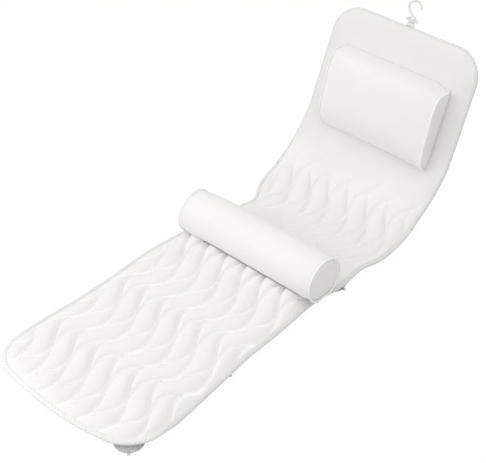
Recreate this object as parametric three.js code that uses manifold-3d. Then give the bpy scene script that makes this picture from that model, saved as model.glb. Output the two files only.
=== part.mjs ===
// Full-body bath pillow: a quilted mat in four hinged panels, with a head pillow, a loose bolster,
// suction cups on webbing tapes and a hanging hook. Millimetres, +Z up, +Y from foot to head.
import * as THREE from 'three';
import { mergeVertices } from 'three/addons/utils/BufferGeometryUtils.js';
import Module from 'manifold-3d';

const wasm = await Module();
wasm.setup();
const { degToRad, clamp, smoothstep } = THREE.MathUtils;

// Mat outline, measured along the cloth from the foot edge
const MAT_WIDTH = 380;
const LEG_LENGTH = 815;
const LUMBAR_LENGTH = 90;
const SHOULDER_LENGTH = 95;
const HEAD_LENGTH = 270;
const FOOT_CORNER_RADIUS = 97;
const HEAD_CORNER_RADIUS = 67;
const CORNER_STEPS = 7;
const WAIST_DEPTH = 24;
const WAIST_AT = 690;
const WAIST_FOOT_SPREAD = 190;
const WAIST_HEAD_SPREAD = 85;
const SIDE_STEP = 60;

// Bends between panels: the fold of each one as it stands, and the most that its mitred ends allow
const BEND_AT_REST = degToRad(22.7);
const BEND_LIMIT = degToRad(30);
const BEND_GAP = 0.3;

// Layers of the mat, backing cloth first
const BACKING_THICKNESS = 1.5;
const CORE_THICKNESS = 4;
const COVER_EDGE_THICKNESS = 1.9;
const LAYER_GAP = 0.3;

// Edge binding folded over the layers
const BINDING_THICKNESS = 1.2;
const BINDING_LIP = 10;
const BINDING_ROUND = 1.5;

// Quilting: main stitch lines wave along the mat, and a crossing line winds between each two of them
const QUILT_PITCH = 52.5;
const QUILT_PERIOD = 178;
const QUILT_MAIN_SWING = 17;
const QUILT_MAIN_START = 214;
const QUILT_LONG_STROKE = 0.624;
const QUILT_CROSS_SWING = 20;
const QUILT_CROSS_START = 262;
const QUILT_CROSS_LIFT = 0.45;
const QUILT_LINE_GAP = 5;
const QUILT_FULL_GAP = 38;
const QUILT_PUFF = 10;
const QUILT_EDGE_MARGIN = 8;
const QUILT_EDGE_FALL = 24;
const QUILT_ROWS_PER_PERIOD = 7;
const STITCH_RISE = 0.8;

// Smooth padding of the shoulder and head panels
const SMOOTH_PUFF = 5.5;
const SMOOTH_COLUMNS = [-1, -0.86, -0.68, -0.35, 0, 0.35, 0.68, 0.86, 1];

// Suction cups
const CUP_HEIGHT = 20;
const CUP_RADIUS = 29;
const CUP_RIM_FLAT = 4;
const CUP_RIM_EDGE = 1.2;
const CUP_DISH = 3.2;
const CUP_WALL = 2.4;
const CUP_SHOULDER_RADIUS = 10;
const CUP_HEAD_RADIUS = 7;
const CUP_HEAD_THICKNESS = 3;
const CUP_NECK_RADIUS = 3.75;
const CUP_NECK_LENGTH = 2.6;
const CUP_SIDES = 12;
const CUP_PLAY = 0.3;
const TAB_LENGTH = 6;
const TAB_WIDTH = 9;
const TAB_THICKNESS = 1.6;
const TAB_LIFT = 1;

// Webbing tapes that carry the cups
const TAPE_WIDTH = 25;
const TAPE_THICKNESS = 1.2;
const TAPE_TAIL = 10;
const POCKET_WALL = 1.5;

// Rows of cups: distance along the panel, margin from the full width in to a cup's middle, turn of the tabs
const FOOT_ROW_AT = 57;
const FOOT_ROW_MARGIN = 40;
const CALF_ROW_AT = 300;
const CALF_ROW_MARGIN = 50;
const THIGH_ROW_FROM_FOLD = 173;
const THIGH_ROW_MARGIN = 47;
const SEAT_ROW_FROM_FOLD = 45;
const HEAD_ROW_AT = 205;
const ROW_MARGIN = 60;
const TAB_OUTWARD = 0;
const TAB_TO_CORNER = degToRad(45);
const TAB_INWARD = degToRad(180);

// Bolster roll and the hook-and-loop strips under it
const BOLSTER_AT = 562;
const BOLSTER_RADIUS = 51;
const BOLSTER_LENGTH = 356;
const BOLSTER_ASIDE = 6;
const BOLSTER_FLAT = 38;
const BOLSTER_DRAW_IN = 3;
const BOLSTER_SIDES = 20;
const BOLSTER_STATIONS = [-1, -0.93, -0.5, 0.5, 0.93, 1];
const PRESSED_SHARE = 0.12;
const PRESS_REACH = 32;
const PRESS_FADE = 28;
const STRIP_LENGTH = 290;
const STRIP_WIDTH = 24;
const STRIP_THICKNESS = 1.2;

// Head pillow
const PILLOW_AT = 1.5;
const PILLOW_ASIDE = 5;
const PILLOW_HEIGHT = 183.5;
const PILLOW_WIDTH = 280;
const PILLOW_THICKNESS = 66;
const PILLOW_END_THICKNESS = 48;
const PILLOW_DRAW_IN = 1;
const PILLOW_SIDES = 16;
const PILLOW_STATIONS = [-1, -0.9, -0.68, -0.36, 0, 0.36, 0.68, 0.9, 1];
const PILLOW_CROWN = 2.4;
const PILLOW_LEAN = 0.2;
const PILLOW_END_SQUARE = 0.7;
const PILLOW_FACE_SQUARE = 0.5;
const SEAM_TAPE_WIDTH = 10;
const SEAM_TAPE_THICKNESS = 1.2;

// Cloth cases shared by the bolster and the pillow
const CASE_WALL = 1.5;
const PIPING_RADIUS = 2;
const PIPING_SIDES = 6;
const END_CLOTH = 1.8;
const END_DOME = 3;
const END_FLAT_SHARE = 0.6;

// Hanging hook and its webbing loop
const HOOK_WIRE = 2.25;
const HOOK_BOW_RADIUS = 16;
const HOOK_BOW_HEIGHT = 27;
const HOOK_BOW_OFFSET = -1.5;
const HOOK_TIP_ANGLE = degToRad(7);
const HOOK_SHANK_ANGLE = degToRad(198);
const HOOK_EYE_HALF = 15.5;
const HOOK_STRUT_SHARE = 0.5;
const HOOK_SIDES = 8;
const HOOK_STEPS = 18;
const HOOK_PLAY = 0.4;
const HOOK_ASIDE = -2;
const LOOP_STANDOFF = 13;
const LOOP_WIDTH = 12;
const LOOP_CLOTH = 0.9;
const LOOP_SIDES = 12;

// Heights above the bend line, which runs through the middle of the backing cloth
const BACKING_LOW = -BACKING_THICKNESS / 2;
const BACKING_TOP = BACKING_THICKNESS / 2;
const CORE_LOW = BACKING_TOP + LAYER_GAP;
const CORE_TOP = CORE_LOW + CORE_THICKNESS;
const COVER_LOW = CORE_TOP + LAYER_GAP;
const COVER_EDGE_TOP = COVER_LOW + COVER_EDGE_THICKNESS;
const STITCH_TOP = COVER_EDGE_TOP + STITCH_RISE;
const CREST_TOP = STITCH_TOP + QUILT_PUFF;
const SMOOTH_TOP = STITCH_TOP + SMOOTH_PUFF;
const BINDING_LOW = BACKING_LOW - LAYER_GAP - BINDING_THICKNESS;
const BINDING_TOP = COVER_EDGE_TOP + LAYER_GAP + BINDING_THICKNESS;
const TAPE_TOP = BACKING_LOW - LAYER_GAP;
const FLOOR = BACKING_LOW - CUP_HEIGHT;
const LAYER_INSET = BINDING_THICKNESS + LAYER_GAP;
const PAD_INSET = BINDING_LIP + LAYER_GAP;

// Panels in order, with where each one starts along the mat
const leg = { name: 'leg', start: 0, length: LEG_LENGTH, footRadius: FOOT_CORNER_RADIUS };
const lumbar = { name: 'lumbar', start: LEG_LENGTH, length: LUMBAR_LENGTH };
const shoulder = { name: 'shoulder', start: lumbar.start + LUMBAR_LENGTH, length: SHOULDER_LENGTH };
const head = {
  name: 'head',
  start: shoulder.start + SHOULDER_LENGTH,
  length: HEAD_LENGTH,
  headRadius: HEAD_CORNER_RADIUS,
};

// Finishes
const finish = (color, roughness) => new THREE.MeshStandardMaterial({ color, roughness, metalness: 0 });
const quiltCloth = () => finish('#f3f3f1', 0.9);
const smoothCloth = () => finish('#eeeeec', 0.92);
const spacerMesh = () => finish('#f6f6f4', 0.95);
const backingCloth = () => finish('#e6e6e4', 0.95);
const bindingTape = () => finish('#efefed', 0.85);
const webbing = () => finish('#ececea', 0.85);
const fibre = () => finish('#fafaf8', 1);
const hookAndLoop = () => finish('#e9e9e7', 0.95);
const softVinyl = () => finish('#cfd2d3', 0.3);
const hookPlastic = () => finish('#d9dadb', 0.4);

// Adds one named piece to a group
function addPiece(parent, name, geometry, material) {
  geometry.computeVertexNormals();
  const mesh = new THREE.Mesh(geometry, material);
  mesh.name = name;
  parent.add(mesh);
  return mesh;
}

// Closed body from points and triangles, turned outward if its volume comes out negative
function bodyFrom(points, triangles) {
  let volume = 0;
  for (const [a, b, c] of triangles) {
    volume += points[a].dot(points[b].clone().cross(points[c]));
  }
  const outward = volume < 0 ? triangles.map(([a, b, c]) => [a, c, b]) : triangles;
  const geometry = new THREE.BufferGeometry().setFromPoints(points);
  geometry.setIndex(outward.flat());
  return geometry;
}

// Triangles over a flat outline, all turning the same way as the outline itself
function fillOutline(outline) {
  const turn = Math.sign(THREE.ShapeUtils.area(outline));
  return THREE.ShapeUtils.triangulateShape(outline, []).map(([a, b, c]) => {
    const same = Math.sign(THREE.ShapeUtils.area([outline[a], outline[b], outline[c]])) === turn;
    return same ? [a, b, c] : [a, c, b];
  });
}

// Skin through rings of equally many points, ringed round on itself or capped by the flat outline
function loft(rings, outline) {
  const count = rings[0].length;
  const triangles = [];
  const bands = outline ? rings.length - 1 : rings.length;
  for (let r = 0; r < bands; r += 1) {
    const near = r * count;
    const far = ((r + 1) % rings.length) * count;
    for (let i = 0; i < count; i += 1) {
      const j = (i + 1) % count;
      triangles.push([near + i, near + j, far + j], [near + i, far + j, far + i]);
    }
  }
  if (outline) {
    const last = (rings.length - 1) * count;
    for (const [a, b, c] of fillOutline(outline)) {
      triangles.push([a, c, b], [last + a, last + b, last + c]);
    }
  }
  return bodyFrom(rings.flat(), triangles);
}

// Solid for joining and cutting, and back to a geometry
function solidOf(geometry) {
  const bare = geometry.clone();
  bare.deleteAttribute('normal');
  bare.deleteAttribute('uv');
  const merged = mergeVertices(bare);
  const corners = Array.from(merged.index.array);
  const kept = [];
  for (let i = 0; i < corners.length; i += 3) {
    const [a, b, c] = corners.slice(i, i + 3);
    if (a !== b && b !== c && c !== a) {
      kept.push(a, b, c);
    }
  }
  return new wasm.Manifold(
    new wasm.Mesh({
      numProp: 3,
      vertProperties: Float32Array.from(merged.attributes.position.array),
      triVerts: Uint32Array.from(kept),
    }),
  );
}

function geometryOf(solid) {
  const mesh = solid.getMesh();
  const geometry = new THREE.BufferGeometry();
  geometry.setAttribute('position', new THREE.BufferAttribute(Float32Array.from(mesh.vertProperties), 3));
  geometry.setIndex(Array.from(mesh.triVerts));
  return geometry;
}

// How far a panel's mitred end stands back from the bend line at a height
const mitre = (z) => BEND_GAP + Math.max(0, z) * Math.tan(BEND_LIMIT / 2);

// Quarter-circle stations of a rounded corner, as angles
function cornerAngles(from) {
  return Array.from({ length: CORNER_STEPS + 1 }, (_, i) => from + (Math.PI / 2) * (i / CORNER_STEPS));
}

// Half the mat's width at a distance along it, drawn in at the waist
function halfWidth(along) {
  const spread = along < WAIST_AT ? WAIST_FOOT_SPREAD : WAIST_HEAD_SPREAD;
  const fromWaist = (along - WAIST_AT) / spread;
  return MAT_WIDTH / 2 - WAIST_DEPTH * Math.exp(-(fromWaist ** 2));
}

// Stops along a panel's two sides, between its corners or mitred ends
function sideStops(panel) {
  const from = panel.footRadius ?? 0;
  const to = panel.length - (panel.headRadius ?? 0);
  const count = Math.ceil((to - from) / SIDE_STEP);
  return Array.from({ length: count - 1 }, (_, i) => from + ((to - from) * (i + 1)) / count);
}

// Plan outline of a panel, drawn in from its edge, at a height above the bend line
function panelOutline(panel, inset, z) {
  const { start, length, footRadius, headRadius } = panel;
  const side = (sign, y) => new THREE.Vector2(sign * (halfWidth(start + y) - inset), y);
  const corner = (radius, sign, centreY, from) => {
    const centreX = sign * (halfWidth(start + centreY) - radius);
    const r = radius - inset;
    return cornerAngles(from).map(
      (angle) => new THREE.Vector2(centreX + r * Math.cos(angle), centreY + r * Math.sin(angle)),
    );
  };
  const footEnd = footRadius
    ? [...corner(footRadius, -1, footRadius, Math.PI), ...corner(footRadius, 1, footRadius, Math.PI * 1.5)]
    : [side(-1, mitre(z)), side(1, mitre(z))];
  const headStart = length - (headRadius ?? mitre(z));
  const headEnd = headRadius
    ? [...corner(headRadius, 1, headStart, 0), ...corner(headRadius, -1, headStart, Math.PI / 2)]
    : [side(1, headStart), side(-1, headStart)];
  const right = sideStops(panel).map((y) => side(1, y));
  const left = sideStops(panel).map((y) => side(-1, y));
  return [...footEnd, ...right, ...headEnd, ...left.reverse()];
}

// Flat layer of a panel between two heights
function panelLayer(panel, inset, low, high) {
  const rings = [low, high].map((z) =>
    panelOutline(panel, inset, z).map((p) => new THREE.Vector3(p.x, p.y, z)),
  );
  return loft(rings, panelOutline(panel, inset, low));
}

// Distance of a point from the panel's finished edge, leaving out its mitred ends
function edgeDistance(panel, x, y) {
  const half = halfWidth(panel.start + y);
  let distance = half - Math.abs(x);
  const ends = [
    [panel.footRadius, y],
    [panel.headRadius, panel.length - y],
  ];
  for (const [radius, fromEnd] of ends) {
    if (radius) {
      const sideways = Math.abs(x) - (half - radius);
      const endways = radius - fromEnd;
      distance = Math.min(distance, fromEnd);
      if (sideways > 0 && endways > 0) {
        distance = Math.min(distance, radius - Math.hypot(sideways, endways));
      }
    }
  }
  return distance;
}

// Top of the padding at a point: stitched down at the binding, puffed further in
function padPoint(panel, x, y, puff) {
  const ease = smoothstep(edgeDistance(panel, x, y) - PAD_INSET, 0, QUILT_EDGE_FALL);
  return new THREE.Vector3(x, y, STITCH_TOP + puff * ease * freeShare(panel.start + y));
}

// Sideways swing of the stitch lines, from -1 to 1, at a distance along the mat
function mainWave(along) {
  const turns = (along - QUILT_MAIN_START) / QUILT_PERIOD;
  const part = turns - Math.floor(turns);
  if (part < QUILT_LONG_STROKE) {
    return Math.cos((Math.PI * part) / QUILT_LONG_STROKE);
  }
  return -Math.cos((Math.PI * (part - QUILT_LONG_STROKE)) / (1 - QUILT_LONG_STROKE));
}

const crossWave = (along) => Math.cos((2 * Math.PI * (along - QUILT_CROSS_START)) / QUILT_PERIOD);

// How far the padding between two stitch lines can puff
const puffOver = (gap) => QUILT_PUFF * Math.min(1, Math.sqrt(gap / QUILT_FULL_GAP));

// Share of its puff that the padding keeps at a distance along the mat, pressed flat under the bolster
function freeShare(along) {
  const away = smoothstep(Math.abs(along - BOLSTER_AT) - PRESS_REACH, 0, PRESS_FADE);
  return PRESSED_SHARE + (1 - PRESSED_SHARE) * away;
}

// One row of the quilted top: a point on every stitch line and on every crest between them
function quiltRow(panel, y) {
  const half = MAT_WIDTH / 2;
  const along = panel.start + y;
  const room = half - BINDING_LIP - QUILT_MAIN_SWING - QUILT_EDGE_MARGIN;
  const perSide = Math.floor(room / QUILT_PITCH);
  const lines = [];
  for (let i = -perSide; i <= perSide; i += 1) {
    lines.push(i * QUILT_PITCH + QUILT_MAIN_SWING * mainWave(along));
  }
  const row = [padPoint(panel, -half, y, 0)];
  row.push(padPoint(panel, (lines[0] - half) / 2, y, puffOver(half + lines[0])));
  lines.forEach((line, i) => {
    row.push(padPoint(panel, line, y, 0));
    if (i + 1 < lines.length) {
      const next = lines[i + 1];
      const middle = (i - perSide + 0.5) * QUILT_PITCH + QUILT_CROSS_SWING * crossWave(along);
      const cross = clamp(middle, line + QUILT_LINE_GAP, next - QUILT_LINE_GAP);
      const before = puffOver(cross - line);
      const after = puffOver(next - cross);
      row.push(padPoint(panel, (line + cross) / 2, y, before));
      row.push(padPoint(panel, cross, y, QUILT_CROSS_LIFT * Math.min(before, after)));
      row.push(padPoint(panel, (cross + next) / 2, y, after));
    }
  });
  const last = lines[lines.length - 1];
  row.push(padPoint(panel, (last + half) / 2, y, puffOver(half - last)));
  row.push(padPoint(panel, half, y, 0));
  return row;
}

const smoothRow = (panel, y) =>
  SMOOTH_COLUMNS.map((share) => padPoint(panel, share * halfWidth(panel.start + y), y, SMOOTH_PUFF));

// Closed body under rows of points, with a flat base at a height
function bodyUnder(rows, low) {
  const columns = rows[0].length;
  const points = rows.flat();
  const triangles = [];
  for (let r = 0; r + 1 < rows.length; r += 1) {
    for (let c = 0; c + 1 < columns; c += 1) {
      const a = r * columns + c;
      const b = a + columns;
      triangles.push([a, a + 1, b + 1], [a, b + 1, b]);
    }
  }
  const rim = [];
  const lastRow = (rows.length - 1) * columns;
  for (let c = 0; c < columns; c += 1) rim.push(c);
  for (let r = 1; r < rows.length; r += 1) rim.push(r * columns + columns - 1);
  for (let c = columns - 2; c >= 0; c -= 1) rim.push(lastRow + c);
  for (let r = rows.length - 2; r > 0; r -= 1) rim.push(r * columns);
  const base = points.length;
  const centre = new THREE.Vector3();
  for (const i of rim) {
    points.push(new THREE.Vector3(points[i].x, points[i].y, low));
    centre.add(points[points.length - 1]);
  }
  points.push(centre.divideScalar(rim.length));
  rim.forEach((top, i) => {
    const next = (i + 1) % rim.length;
    triangles.push([base + i, base + next, rim[next]], [base + i, rim[next], top]);
    triangles.push([base + next, base + i, points.length - 1]);
  });
  return bodyFrom(points, triangles);
}

// Padded cover of a panel: a thin edge that goes under the binding, with the padding raised inside it
function panelCover(panel, rowAt) {
  const step = QUILT_PERIOD / QUILT_ROWS_PER_PERIOD;
  const count = Math.max(2, Math.ceil(panel.length / step));
  const rows = [];
  for (let r = -1; r <= count + 1; r += 1) {
    rows.push(rowAt(panel, (r / count) * panel.length));
  }
  const low = (COVER_LOW + COVER_EDGE_TOP) / 2;
  const padding = solidOf(bodyUnder(rows, low));
  const outline = solidOf(panelLayer(panel, PAD_INSET, 0, CREST_TOP + QUILT_PUFF));
  const edge = solidOf(panelLayer(panel, LAYER_INSET, COVER_LOW, COVER_EDGE_TOP));
  return geometryOf(padding.intersect(outline).add(edge));
}

// Section of the binding: distance in from the edge, height
function bindingSection() {
  const inner = BINDING_THICKNESS;
  return [
    [BINDING_ROUND, BINDING_LOW],
    [BINDING_LIP, BINDING_LOW],
    [BINDING_LIP, BINDING_LOW + BINDING_THICKNESS],
    [inner, BINDING_LOW + BINDING_THICKNESS],
    [inner, BINDING_TOP - BINDING_THICKNESS],
    [BINDING_LIP, BINDING_TOP - BINDING_THICKNESS],
    [BINDING_LIP, BINDING_TOP],
    [BINDING_ROUND, BINDING_TOP],
    [0, BINDING_TOP - BINDING_ROUND],
    [0, BINDING_LOW + BINDING_ROUND],
  ].map(([inward, z]) => new THREE.Vector2(inward, z));
}

// Rings of the binding across a side and round a corner, as functions of a point of its section
function sideRing(panel, sign, placeAt) {
  return (p) => {
    const y = placeAt(p.y);
    return new THREE.Vector3(sign * (halfWidth(panel.start + y) - p.x), y, p.y);
  };
}

function cornerRings(panel, radius, sign, centreY, from) {
  const centreX = sign * (halfWidth(panel.start + centreY) - radius);
  return cornerAngles(from).map((angle) => (p) => {
    const r = radius - p.x;
    return new THREE.Vector3(centreX + r * Math.cos(angle), centreY + r * Math.sin(angle), p.y);
  });
}

// Binding through rings in order
function bindingThrough(rings) {
  const section = bindingSection();
  return loft(rings.map((ring) => section.map(ring)), section);
}

function addBindings(group, panel) {
  const { name, length, footRadius, headRadius } = panel;
  const nearEnd = (sign) => sideRing(panel, sign, mitre);
  const farEnd = (sign) => sideRing(panel, sign, (z) => length - mitre(z));
  const stops = (sign) => sideStops(panel).map((y) => sideRing(panel, sign, () => y));
  if (footRadius) {
    const rings = [
      farEnd(-1),
      ...stops(-1).reverse(),
      ...cornerRings(panel, footRadius, -1, footRadius, Math.PI),
      ...cornerRings(panel, footRadius, 1, footRadius, Math.PI * 1.5),
      ...stops(1),
      farEnd(1),
    ];
    addPiece(group, `${name}_binding`, bindingThrough(rings), bindingTape());
  } else if (headRadius) {
    const rings = [
      nearEnd(1),
      ...stops(1),
      ...cornerRings(panel, headRadius, 1, length - headRadius, 0),
      ...cornerRings(panel, headRadius, -1, length - headRadius, Math.PI / 2),
      ...stops(-1).reverse(),
      nearEnd(-1),
    ];
    addPiece(group, `${name}_binding`, bindingThrough(rings), bindingTape());
  } else {
    for (const [side, sign] of [['left', -1], ['right', 1]]) {
      const rings = [nearEnd(sign), ...stops(sign), farEnd(sign)];
      addPiece(group, `${name}_binding_${side}`, bindingThrough(rings), bindingTape());
    }
  }
}

// The layers and binding of one panel
function addPanel(group, panel, coverName, rowAt, cloth) {
  addPiece(group, coverName, panelCover(panel, rowAt), cloth);
  const core = panelLayer(panel, LAYER_INSET, CORE_LOW, CORE_TOP);
  addPiece(group, `${panel.name}_spacer_core`, core, spacerMesh());
  const backing = panelLayer(panel, LAYER_INSET, BACKING_LOW, BACKING_TOP);
  addPiece(group, `${panel.name}_backing`, backing, backingCloth());
  addBindings(group, panel);
}

// Turned solid standing along Z, from radius and height pairs
function turned(profile, sides) {
  const points = profile.map(([radius, z]) => new THREE.Vector2(radius, z));
  return new THREE.LatheGeometry(points, sides).rotateX(Math.PI / 2);
}

// Block with its lowest corner given
function block(low, size) {
  const geometry = new THREE.BoxGeometry(size.x, size.y, size.z);
  return geometry.translate(low.x + size.x / 2, low.y + size.y / 2, low.z + size.z / 2);
}

// Suction cup: mushroom head, neck, bell with a shallow dish, flat rim and a release tab
function suctionCup(tabAngle) {
  const headLow = TAPE_TOP - CUP_HEAD_THICKNESS;
  const bellTop = headLow - LAYER_GAP - TAPE_THICKNESS - CUP_NECK_LENGTH;
  const middleRadius = (CUP_SHOULDER_RADIUS + CUP_RADIUS) / 2;
  const bellMiddle = FLOOR + CUP_DISH + CUP_WALL;
  const profile = [
    [0, FLOOR + CUP_DISH],
    [CUP_SHOULDER_RADIUS, FLOOR + CUP_DISH],
    [CUP_RADIUS - CUP_RIM_FLAT, FLOOR],
    [CUP_RADIUS, FLOOR],
    [CUP_RADIUS, FLOOR + CUP_RIM_EDGE],
    [middleRadius, bellMiddle],
    [CUP_SHOULDER_RADIUS, bellTop - CUP_WALL],
    [CUP_NECK_RADIUS, bellTop],
    [CUP_NECK_RADIUS, headLow],
    [CUP_HEAD_RADIUS, headLow],
    [CUP_HEAD_RADIUS, TAPE_TOP],
    [0, TAPE_TOP],
  ];
  const low = new THREE.Vector3(CUP_RADIUS - CUP_RIM_FLAT / 2, -TAB_WIDTH / 2, FLOOR + TAB_LIFT);
  const size = new THREE.Vector3(TAB_LENGTH + CUP_RIM_FLAT / 2, TAB_WIDTH, TAB_THICKNESS);
  const tab = block(low, size).rotateZ(tabAngle);
  return geometryOf(solidOf(turned(profile, CUP_SIDES)).add(solidOf(tab)));
}

// Cylinder whose flats, not its corners, lie at the radius
function roundHole(radius, low, high) {
  const across = radius / Math.cos(Math.PI / CUP_SIDES);
  return solidOf(
    turned(
      [
        [0, low],
        [across, low],
        [across, high],
        [0, high],
      ],
      CUP_SIDES,
    ),
  );
}

// Webbing tape across the underside, with a pocket round the head of each of its two cups
function cupTape(reach) {
  const pocketFloor = TAPE_TOP - CUP_HEAD_THICKNESS - LAYER_GAP;
  const pocketLow = pocketFloor - TAPE_THICKNESS;
  const half = reach + TAPE_TAIL;
  const low = new THREE.Vector3(-half, -TAPE_WIDTH / 2, TAPE_TOP - TAPE_THICKNESS);
  let tape = solidOf(block(low, new THREE.Vector3(2 * half, TAPE_WIDTH, TAPE_THICKNESS)));
  const pocket = roundHole(CUP_HEAD_RADIUS + CUP_PLAY + POCKET_WALL, pocketLow, TAPE_TOP);
  const room = roundHole(CUP_HEAD_RADIUS + CUP_PLAY, pocketFloor, TAPE_TOP + TAPE_THICKNESS);
  const eye = roundHole(CUP_NECK_RADIUS + CUP_PLAY, pocketLow - TAPE_THICKNESS, pocketFloor + LAYER_GAP);
  for (const x of [-reach, reach]) {
    tape = tape.add(pocket.translate([x, 0, 0]));
  }
  for (const x of [-reach, reach]) {
    tape = tape.subtract(room.translate([x, 0, 0])).subtract(eye.translate([x, 0, 0]));
  }
  return geometryOf(tape);
}

// A row of two cups on their tape, the left one turned half round from the right one
function addCupRow(group, name, at, margin, tabAngle) {
  const reach = MAT_WIDTH / 2 - margin;
  const row = new THREE.Group();
  row.position.y = at;
  group.add(row);
  addPiece(row, `cup_tape_${name}`, cupTape(reach), webbing());
  const right = addPiece(row, `suction_cup_${name}_right`, suctionCup(-tabAngle), softVinyl());
  right.position.x = reach;
  const left = addPiece(row, `suction_cup_${name}_left`, suctionCup(Math.PI - tabAngle), softVinyl());
  left.position.x = -reach;
}

// Height of the bolster's underside, above the pressed padding and its two fastening strips
const PRESSED_TOP = STITCH_TOP + QUILT_PUFF * PRESSED_SHARE;
const LOOP_STRIP_LOW = PRESSED_TOP + LAYER_GAP;
const HOOK_STRIP_LOW = LOOP_STRIP_LOW + STRIP_THICKNESS + LAYER_GAP;
const BOLSTER_BASE = HOOK_STRIP_LOW + STRIP_THICKNESS + LAYER_GAP;

// Outline of the bolster at a share of its half length: a circle with a flat base
function bolsterOutline(share) {
  const radius = BOLSTER_RADIUS - BOLSTER_DRAW_IN * share ** 8;
  const centreZ = BOLSTER_BASE + Math.sqrt(BOLSTER_RADIUS ** 2 - (BOLSTER_FLAT / 2) ** 2);
  const open = Math.acos(Math.min(1, (centreZ - BOLSTER_BASE) / radius));
  const from = open - Math.PI / 2;
  const sweep = 2 * Math.PI - 2 * open;
  return Array.from({ length: BOLSTER_SIDES + 1 }, (_, i) => {
    const angle = from + (sweep * i) / BOLSTER_SIDES;
    return new THREE.Vector2(BOLSTER_AT + radius * Math.cos(angle), centreZ + radius * Math.sin(angle));
  });
}

// Height of the pillow's underside, above its seam tape
const SEAM_TAPE_LOW = SMOOTH_TOP + LAYER_GAP;
const PILLOW_BASE = SEAM_TAPE_LOW + SEAM_TAPE_THICKNESS + LAYER_GAP;

// Outline of the pillow at a share of its half width: flat behind, crowned in front, fuller towards its top
function pillowOutline(share) {
  const crown = 1 - Math.abs(share) ** PILLOW_CROWN;
  const thickness = PILLOW_END_THICKNESS + (PILLOW_THICKNESS - PILLOW_END_THICKNESS) * crown;
  const half = PILLOW_HEIGHT / 2 - PILLOW_DRAW_IN * (1 - crown);
  const centreY = PILLOW_AT + PILLOW_HEIGHT / 2;
  return Array.from({ length: PILLOW_SIDES + 1 }, (_, i) => {
    const angle = (Math.PI * i) / PILLOW_SIDES;
    const lengthways = Math.sign(Math.cos(angle)) * Math.abs(Math.cos(angle)) ** PILLOW_END_SQUARE;
    const rise = Math.max(0, Math.sin(angle)) ** PILLOW_FACE_SQUARE;
    const lean = 1 + PILLOW_LEAN * lengthways;
    return new THREE.Vector2(centreY + half * lengthways, PILLOW_BASE + thickness * rise * lean);
  });
}

// Outline moved inward by the same distance all round; its points run anticlockwise
function drawnIn(outline, inset) {
  return outline.map((p, i) => {
    const before = outline[(i + outline.length - 1) % outline.length];
    const after = outline[(i + 1) % outline.length];
    const inA = new THREE.Vector2(before.y - p.y, p.x - before.x).normalize();
    const inB = new THREE.Vector2(p.y - after.y, after.x - p.x).normalize();
    const between = inA.clone().add(inB);
    return between.multiplyScalar(inset / (1 + inA.dot(inB))).add(p);
  });
}

// Ring of points across X through an outline in Y and Z
const ringAt = (x, outline) => outline.map((p) => new THREE.Vector3(x, p.x, p.y));

// Padded case along X: cover tube, filling, two end cloths and two piping cords
function addCase(group, pad, names, cloth) {
  const half = pad.length / 2;
  const through = (inset, overrun) => {
    const rings = pad.stations.map((share) => {
      const past = Math.abs(share) === 1 ? Math.sign(share) * overrun : 0;
      return ringAt(share * half + past, drawnIn(pad.outline(share), inset));
    });
    return loft(rings, drawnIn(pad.outline(1), inset));
  };
  const tube = solidOf(through(0, 0)).subtract(solidOf(through(CASE_WALL, CASE_WALL)));
  addPiece(group, names.cover, geometryOf(tube), cloth());
  addPiece(group, names.filling, through(CASE_WALL + LAYER_GAP, 0), fibre());
  for (const [side, sign] of [['left', -1], ['right', 1]]) {
    addPiece(group, `${names.end}_${side}`, caseEnd(pad, sign), cloth());
    addPiece(group, `${names.piping}_${side}`, casePiping(pad, sign), bindingTape());
  }
}

// End cloth of a case, slightly domed, inside its piping
function caseEnd(pad, sign) {
  const outline = drawnIn(pad.outline(1), 2 * PIPING_RADIUS + LAYER_GAP);
  const centre = new THREE.Box2().setFromPoints(outline).getCenter(new THREE.Vector2());
  const flat = outline.map((p) => p.clone().lerp(centre, 1 - END_FLAT_SHARE));
  const from = pad.length / 2 + LAYER_GAP;
  const rings = [
    ringAt(sign * from, outline),
    ringAt(sign * (from + END_CLOTH), outline),
    ringAt(sign * (from + END_CLOTH + END_DOME), flat),
  ];
  return loft(rings, outline);
}

// Piping cord round the end of a case
function casePiping(pad, sign) {
  const path = drawnIn(pad.outline(1), PIPING_RADIUS);
  const x = sign * (pad.length / 2 + LAYER_GAP + PIPING_RADIUS);
  const rings = path.map((p, i) => {
    const before = path[(i + path.length - 1) % path.length];
    const after = path[(i + 1) % path.length];
    const out = new THREE.Vector2(after.y - before.y, before.x - after.x).normalize();
    return Array.from({ length: PIPING_SIDES }, (_, k) => {
      const angle = (2 * Math.PI * k) / PIPING_SIDES;
      const outward = PIPING_RADIUS * Math.cos(angle);
      const along = PIPING_RADIUS * Math.sin(angle);
      return new THREE.Vector3(x + along, p.x + out.x * outward, p.y + out.y * outward);
    });
  });
  return loft(rings);
}

// Fastening strip under the bolster
function fasteningStrip(low) {
  const corner = new THREE.Vector3(-STRIP_LENGTH / 2, BOLSTER_AT - STRIP_WIDTH / 2, low);
  return block(corner, new THREE.Vector3(STRIP_LENGTH, STRIP_WIDTH, STRIP_THICKNESS));
}

function addBolster(group) {
  addPiece(group, 'bolster_loop_strip', fasteningStrip(LOOP_STRIP_LOW), hookAndLoop());
  const roll = new THREE.Group();
  roll.position.x = BOLSTER_ASIDE;
  group.add(roll);
  addPiece(roll, 'bolster_hook_strip', fasteningStrip(HOOK_STRIP_LOW), hookAndLoop());
  const pad = { length: BOLSTER_LENGTH, stations: BOLSTER_STATIONS, outline: bolsterOutline };
  const names = {
    cover: 'bolster_cover',
    filling: 'bolster_core',
    end: 'bolster_end',
    piping: 'bolster_piping',
  };
  addCase(roll, pad, names, smoothCloth);
}

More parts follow.
